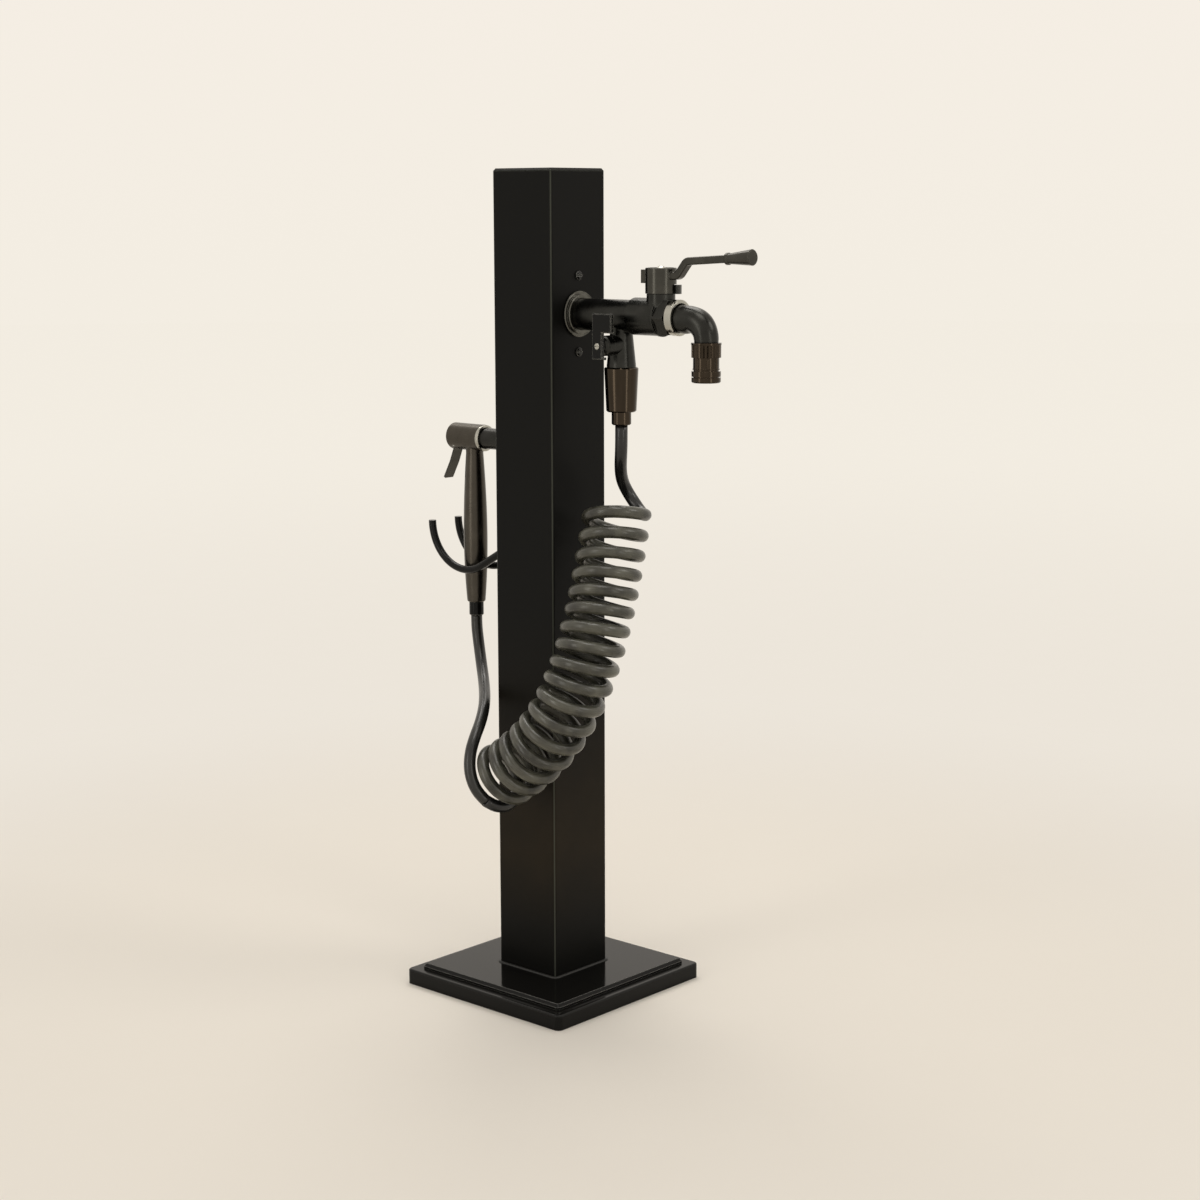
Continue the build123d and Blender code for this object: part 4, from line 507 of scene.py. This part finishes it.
class STANDPIPE_OT_tail_hose(StandpipePiece, bpy.types.Operator):
    """Free hose from the coil up to the sprayer's nut"""

    bl_idname = "standpipe.tail_hose"
    bl_label = "Tail hose"

    def execute(self, context):
        sizes, look = context.scene.standpipe_hoses, context.scene.standpipe_look
        tip = coil_places([WOUND_TO], sizes.coil_turns, sizes.coil_radius)
        path = route("tail_route", np.concatenate((tip, TAIL_ROUTE)), 8)
        material = extruded_hose("rubber hose, black", look.tail_hex, "#262622", (0.24, 0.36))
        piece, length = hose("tail_hose_line", path, sizes.tail_diameter / 2, 24, material)
        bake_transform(piece)
        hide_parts("tail_hose")
        return {"FINISHED"}


class STANDPIPE_OT_post(StandpipePiece, bpy.types.Operator):
    """Powder coat of the post and its cap"""

    bl_idname = "standpipe.post"
    bl_label = "Post"

    def execute(self, context):
        dress(POST_NODES, powder_coat(context.scene.standpipe_look))
        return {"FINISHED"}


class STANDPIPE_OT_foot(StandpipePiece, bpy.types.Operator):
    """Gloss enamel of the foot, its cover, the hook, the small handle and the sprayer's nut"""

    bl_idname = "standpipe.foot"
    bl_label = "Foot, hook and small handle"

    def execute(self, context):
        dress(FOOT_NODES, gloss_enamel(context.scene.standpipe_look))
        return {"FINISHED"}


class STANDPIPE_OT_tap(StandpipePiece, bpy.types.Operator):
    """Dark nickel of the tap's castings, the peg, lever and trigger"""

    bl_idname = "standpipe.tap"
    bl_label = "Tap castings"

    def execute(self, context):
        colour = context.scene.standpipe_look.tap_hex
        dress(CAST_NODES, plated_casting("dark nickel on cast brass", colour, "#5b5b57", 0.9, (0.24, 0.34), 0.3))
        dress(LEVER_NODES, plated_casting("dark nickel on lever", "#3f3e3a", "#6e6c65", 0.7, (0.2, 0.3), 0.4))
        return {"FINISHED"}


class STANDPIPE_OT_sprayer(StandpipePiece, bpy.types.Operator):
    """Dark nickel of the hand sprayer"""

    bl_idname = "standpipe.sprayer"
    bl_label = "Hand sprayer"

    def execute(self, context):
        dress(SPRAYER_NODES, plated_casting("brushed nickel on sprayer", "#45413b", "#706b62", 0.5, (0.27, 0.34),
                                            0.2))
        return {"FINISHED"}


class STANDPIPE_OT_outlets(StandpipePiece, bpy.types.Operator):
    """Polished turned outlets: spout connector, branch sleeve and hose nuts"""

    bl_idname = "standpipe.outlets"
    bl_label = "Turned outlets"

    def execute(self, context):
        colour = context.scene.standpipe_look.bronze_hex
        dress(TURNED_NODES, turned_metal("polished bronze nickel", colour, "#463d33", 1.2, (0.12, 0.19)))
        return {"FINISHED"}


class STANDPIPE_OT_bright(StandpipePiece, bpy.types.Operator):
    """Bright rings, rosette, balls and screws"""

    bl_idname = "standpipe.bright"
    bl_label = "Bright parts"

    def execute(self, context):
        dress(BRIGHT_NODES, turned_metal("polished nickel", "#98978f", "#bdbbb2", 1.0, (0.12, 0.22), "Y"))
        dress(("escutcheon",), turned_metal("satin nickel rosette", "#43423e", "#6b6a64", 1.0, (0.16, 0.24), "Y"))
        return {"FINISHED"}


class STANDPIPE_OT_inner_parts(StandpipePiece, bpy.types.Operator):
    """Brass, copper, steel, PTFE and rubber of the water way"""

    bl_idname = "standpipe.inner_parts"
    bl_label = "Inner parts"

    def execute(self, context):
        dress(BRASS_NODES, turned_metal("machined brass", "#a8843f", "#c9a860", 0.9, (0.22, 0.36)))
        dress(COPPER_NODES, turned_metal("drawn copper pipe", "#a9623c", "#8a4a2e", 3.0, (0.26, 0.42)))
        dress(STEEL_NODES, turned_metal("stainless steel", "#8f8f8b", "#b4b4af", 0.8, (0.2, 0.34)))
        dress(PTFE_NODES, moulded_polymer("PTFE, sintered white", "#e6e4dc", "#d2cfc4", 0.45, 1.5))
        dress(RUBBER_NODES, moulded_polymer("rubber, moulded black", "#151514", "#22211f", 0.62, 1.2))
        return {"FINISHED"}


def area_lamp(name, place, aim, size, watts, colour):
    """A soft lamp, as wide and high as size, at place and facing aim."""
    lamp = bpy.data.lights.new(name, "AREA")
    lamp.shape = "RECTANGLE"
    lamp.size, lamp.size_y = size
    lamp.energy = watts
    lamp.color = linear(colour)[:3]
    holder = bpy.data.objects.new(name, lamp)
    holder.matrix_world = Matrix.Translation(place) @ (
        (Vector(aim) - Vector(place)).to_track_quat("-Z", "Y").to_matrix().to_4x4())
    bpy.context.scene.collection.objects.link(holder)


# Name, place, aim, width and height, watts and colour
LAMPS = (
    ("key lamp", (1.1, -2.3, 2.4), (0.0, -0.05, 0.5), (1.1, 1.1), 14.0, "#fffcf7"),
    ("side lamp", (-2.6, 0.5, 1.8), (0.0, 0.0, 0.3), (1.2, 1.2), 4.0, "#fffcf7"),
    ("rear lamp", (0.85, 1.0, 3.0), (0.0, 0.0, 0.1), (2.0, 2.0), 48.0, "#fffcf7"),
    ("top lamp", (-0.3, -0.4, 2.4), (0.0, -0.05, 0.6), (0.9, 0.9), 9.0, "#fffcf8"),
    ("left strip", (-2.15, 0.35, 0.75), (0.0, -0.05, 0.6), (0.45, 1.7), 6.0, "#fcf8f0"),
    ("right strip", (-0.4, -2.2, 0.75), (0.0, -0.05, 0.6), (0.3, 1.7), 4.5, "#fcf8f0"),
)


class STANDPIPE_OT_stage(StandpipePiece, bpy.types.Operator):
    """Pale floor and backdrop, soft lamps and the camera"""

    bl_idname = "standpipe.stage"
    bl_label = "Floor, lamps and camera"

    def execute(self, context):
        look = context.scene.standpipe_look
        self.camera(context.scene)
        self.floor(context.scene, look)
        self.backdrop(context.scene, look)
        for lamp in LAMPS:
            area_lamp(*lamp)
        return {"FINISHED"}

    def camera(self, scene):
        """Camera fitted to the post's edges and foot: where it stands, what it faces and its lens."""
        lens = bpy.data.cameras.new("camera")
        lens.sensor_fit = "HORIZONTAL"
        lens.sensor_width = 36.0
        lens.lens = 67.97
        holder = bpy.data.objects.new("camera", lens)
        across = Vector((0.66719, -0.74489, 0.0)).normalized()
        facing = Vector((0.73378, 0.65724, -0.17203)).normalized()
        roll = math.radians(-0.138)
        level_up = across.cross(facing)
        across, up = (across * math.cos(roll) + level_up * math.sin(roll),
                      level_up * math.cos(roll) - across * math.sin(roll))
        turn = Matrix((across, up, -facing)).transposed().to_4x4()
        holder.matrix_world = Matrix.Translation((-1.68547, -1.57756, 0.81333)) @ turn
        scene.collection.objects.link(holder)
        scene.camera = holder

    def floor(self, scene, look):
        """Round floor: radius r and angle a give the point (r cos a, r sin a, 0), with r growing as a square."""
        rings, spokes = 24, 72
        share = np.linspace(0, 1, rings + 1)[1:, None]
        angle = np.linspace(0, 2 * math.pi, spokes, endpoint=False)[None, :]
        radius = 14.0 * share ** 2
        disc = np.stack((radius * np.cos(angle), radius * np.sin(angle), np.zeros((rings, spokes))), axis=-1)
        points = np.concatenate((disc.reshape(-1, 3), np.zeros((1, 3))))
        row, column = np.meshgrid(np.arange(rings - 1), np.arange(spokes), indexing="ij")
        after = (column + 1) % spokes
        bands = np.stack((row * spokes + column, (row + 1) * spokes + column, (row + 1) * spokes + after,
                          row * spokes + after), axis=-1).reshape(-1, 4)
        spoke = np.arange(spokes)
        middle = np.stack((np.full(spokes, rings * spokes), spoke, (spoke + 1) % spokes), axis=-1)
        mesh = bpy.data.meshes.new("floor")
        mesh.from_pydata(points.tolist(), [], bands.tolist() + middle.tolist())
        mesh.materials.append(self.floor_paint(look))
        floor = bpy.data.objects.new("floor", mesh)
        scene.collection.objects.link(floor)

    def floor_paint(self, look):
        """Matt pale floor paint near the post; far off it glows at its own colour, so that it meets the backdrop."""
        material, tree, place, shader = start("matt floor paint")
        away = add(tree, "ShaderNodeVectorMath", links={0: place}, operation="LENGTH").outputs["Value"]
        fade = add(tree, "ShaderNodeMapRange", {"From Min": 0.3, "From Max": 6.0}, {"Value": away},
                   interpolation_type="SMOOTHERSTEP").outputs["Result"]
        # Trowel marks about 60 mm across, very faint
        trowel = add(tree, "ShaderNodeTexNoise", {"Scale": 1 / (60 * MM), "Detail": 3.0}, {"Vector": place})
        faint = add(tree, "ShaderNodeMath", {1: 0.04}, {0: trowel.outputs["Fac"]}, operation="MULTIPLY")
        paint = blend_colours(tree, fade, look.floor_hex, look.far_hex)
        paint = blend_colours(tree, faint.outputs["Value"], paint, "#d8cdbb")
        tree.links.new(paint, shader.inputs["Base Color"])
        shader.inputs["Roughness"].default_value = 0.9
        shader.inputs["Specular IOR Level"].default_value = 0.1
        glow = add(tree, "ShaderNodeEmission", {"Strength": 1.0}, {"Color": paint})
        far = add(tree, "ShaderNodeMapRange", {"From Min": 0.45, "From Max": 1.4}, {"Value": away},
                  interpolation_type="SMOOTHSTEP").outputs["Result"]
        share = add(tree, "ShaderNodeMath", links={0: seeing_rays(tree), 1: far},
                    operation="MULTIPLY").outputs["Value"]
        both = add(tree, "ShaderNodeMixShader",
                   links={0: share, 1: shader.outputs["BSDF"], 2: glow.outputs["Emission"]})
        end = next(node for node in tree.nodes if node.type == "OUTPUT_MATERIAL")
        tree.links.new(both.outputs["Shader"], end.inputs["Surface"])
        return material

    def backdrop(self, scene, look):
        """World: a pale wall that is a little lighter upwards, seen by the eye and by gloss, and soft fill light."""
        world = bpy.data.worlds.new("studio")
        world.use_nodes = True
        tree = world.node_tree
        tree.nodes.clear()
        way = add(tree, "ShaderNodeTexCoord").outputs["Generated"]
        rise = add(tree, "ShaderNodeSeparateXYZ", links={"Vector": way}).outputs["Z"]
        share = add(tree, "ShaderNodeMapRange", {"From Min": -0.05, "From Max": 0.1}, {"Value": rise})
        wall = blend_colours(tree, share.outputs["Result"], look.far_hex, look.sky_hex)
        seen = add(tree, "ShaderNodeBackground", {"Strength": 1.0}, {"Color": wall})
        fill = add(tree, "ShaderNodeBackground", {"Color": linear("#fffcf8"), "Strength": 0.33})
        both = add(tree, "ShaderNodeMixShader",
                   links={0: seeing_rays(tree), 1: fill.outputs["Background"], 2: seen.outputs["Background"]})
        add(tree, "ShaderNodeOutputWorld", links={"Surface": both.outputs["Shader"]})
        scene.world = world
        scene.view_settings.view_transform = "Standard"


class STANDPIPE_PT_panel(bpy.types.Panel):
    """Lists the standpipe's sizes, colours and pieces"""

    bl_idname = "STANDPIPE_PT_panel"
    bl_label = "Garden standpipe"
    bl_space_type = "VIEW_3D"
    bl_region_type = "UI"
    bl_category = "Standpipe"

    def draw(self, context):
        for group in (context.scene.standpipe_hoses, context.scene.standpipe_look):
            box = self.layout.box()
            for name in group.__annotations__:
                box.prop(group, name)
        for operator in OPERATORS:
            self.layout.operator(operator.bl_idname)


GROUPS = (StandpipeHoses, StandpipeLook)
OPERATORS = (
    STANDPIPE_OT_stage, STANDPIPE_OT_coil_hose, STANDPIPE_OT_tail_hose, STANDPIPE_OT_post, STANDPIPE_OT_foot,
    STANDPIPE_OT_tap, STANDPIPE_OT_sprayer, STANDPIPE_OT_outlets, STANDPIPE_OT_bright,
    STANDPIPE_OT_inner_parts,
)


def register():
    """Registers the groups, operators and panel, and gives the scene its sizes and colours."""
    for item in (*GROUPS, *OPERATORS, STANDPIPE_PT_panel):
        bpy.utils.register_class(item)
    bpy.types.Scene.standpipe_hoses = bpy.props.PointerProperty(type=StandpipeHoses)
    bpy.types.Scene.standpipe_look = bpy.props.PointerProperty(type=StandpipeLook)


def unregister():
    """Takes them away again."""
    del bpy.types.Scene.standpipe_look
    del bpy.types.Scene.standpipe_hoses
    for item in (STANDPIPE_PT_panel, *reversed(OPERATORS), *reversed(GROUPS)):
        bpy.utils.unregister_class(item)


def main():
    """Registers the add-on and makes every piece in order."""
    register()
    for operator in OPERATORS:
        group, name = operator.bl_idname.split(".")
        if getattr(getattr(bpy.ops, group), name)() != {"FINISHED"}:
            raise RuntimeError(operator.bl_label + " wasn't made")
    bpy.context.view_layer.update()


if __name__ == "__main__":
    main()
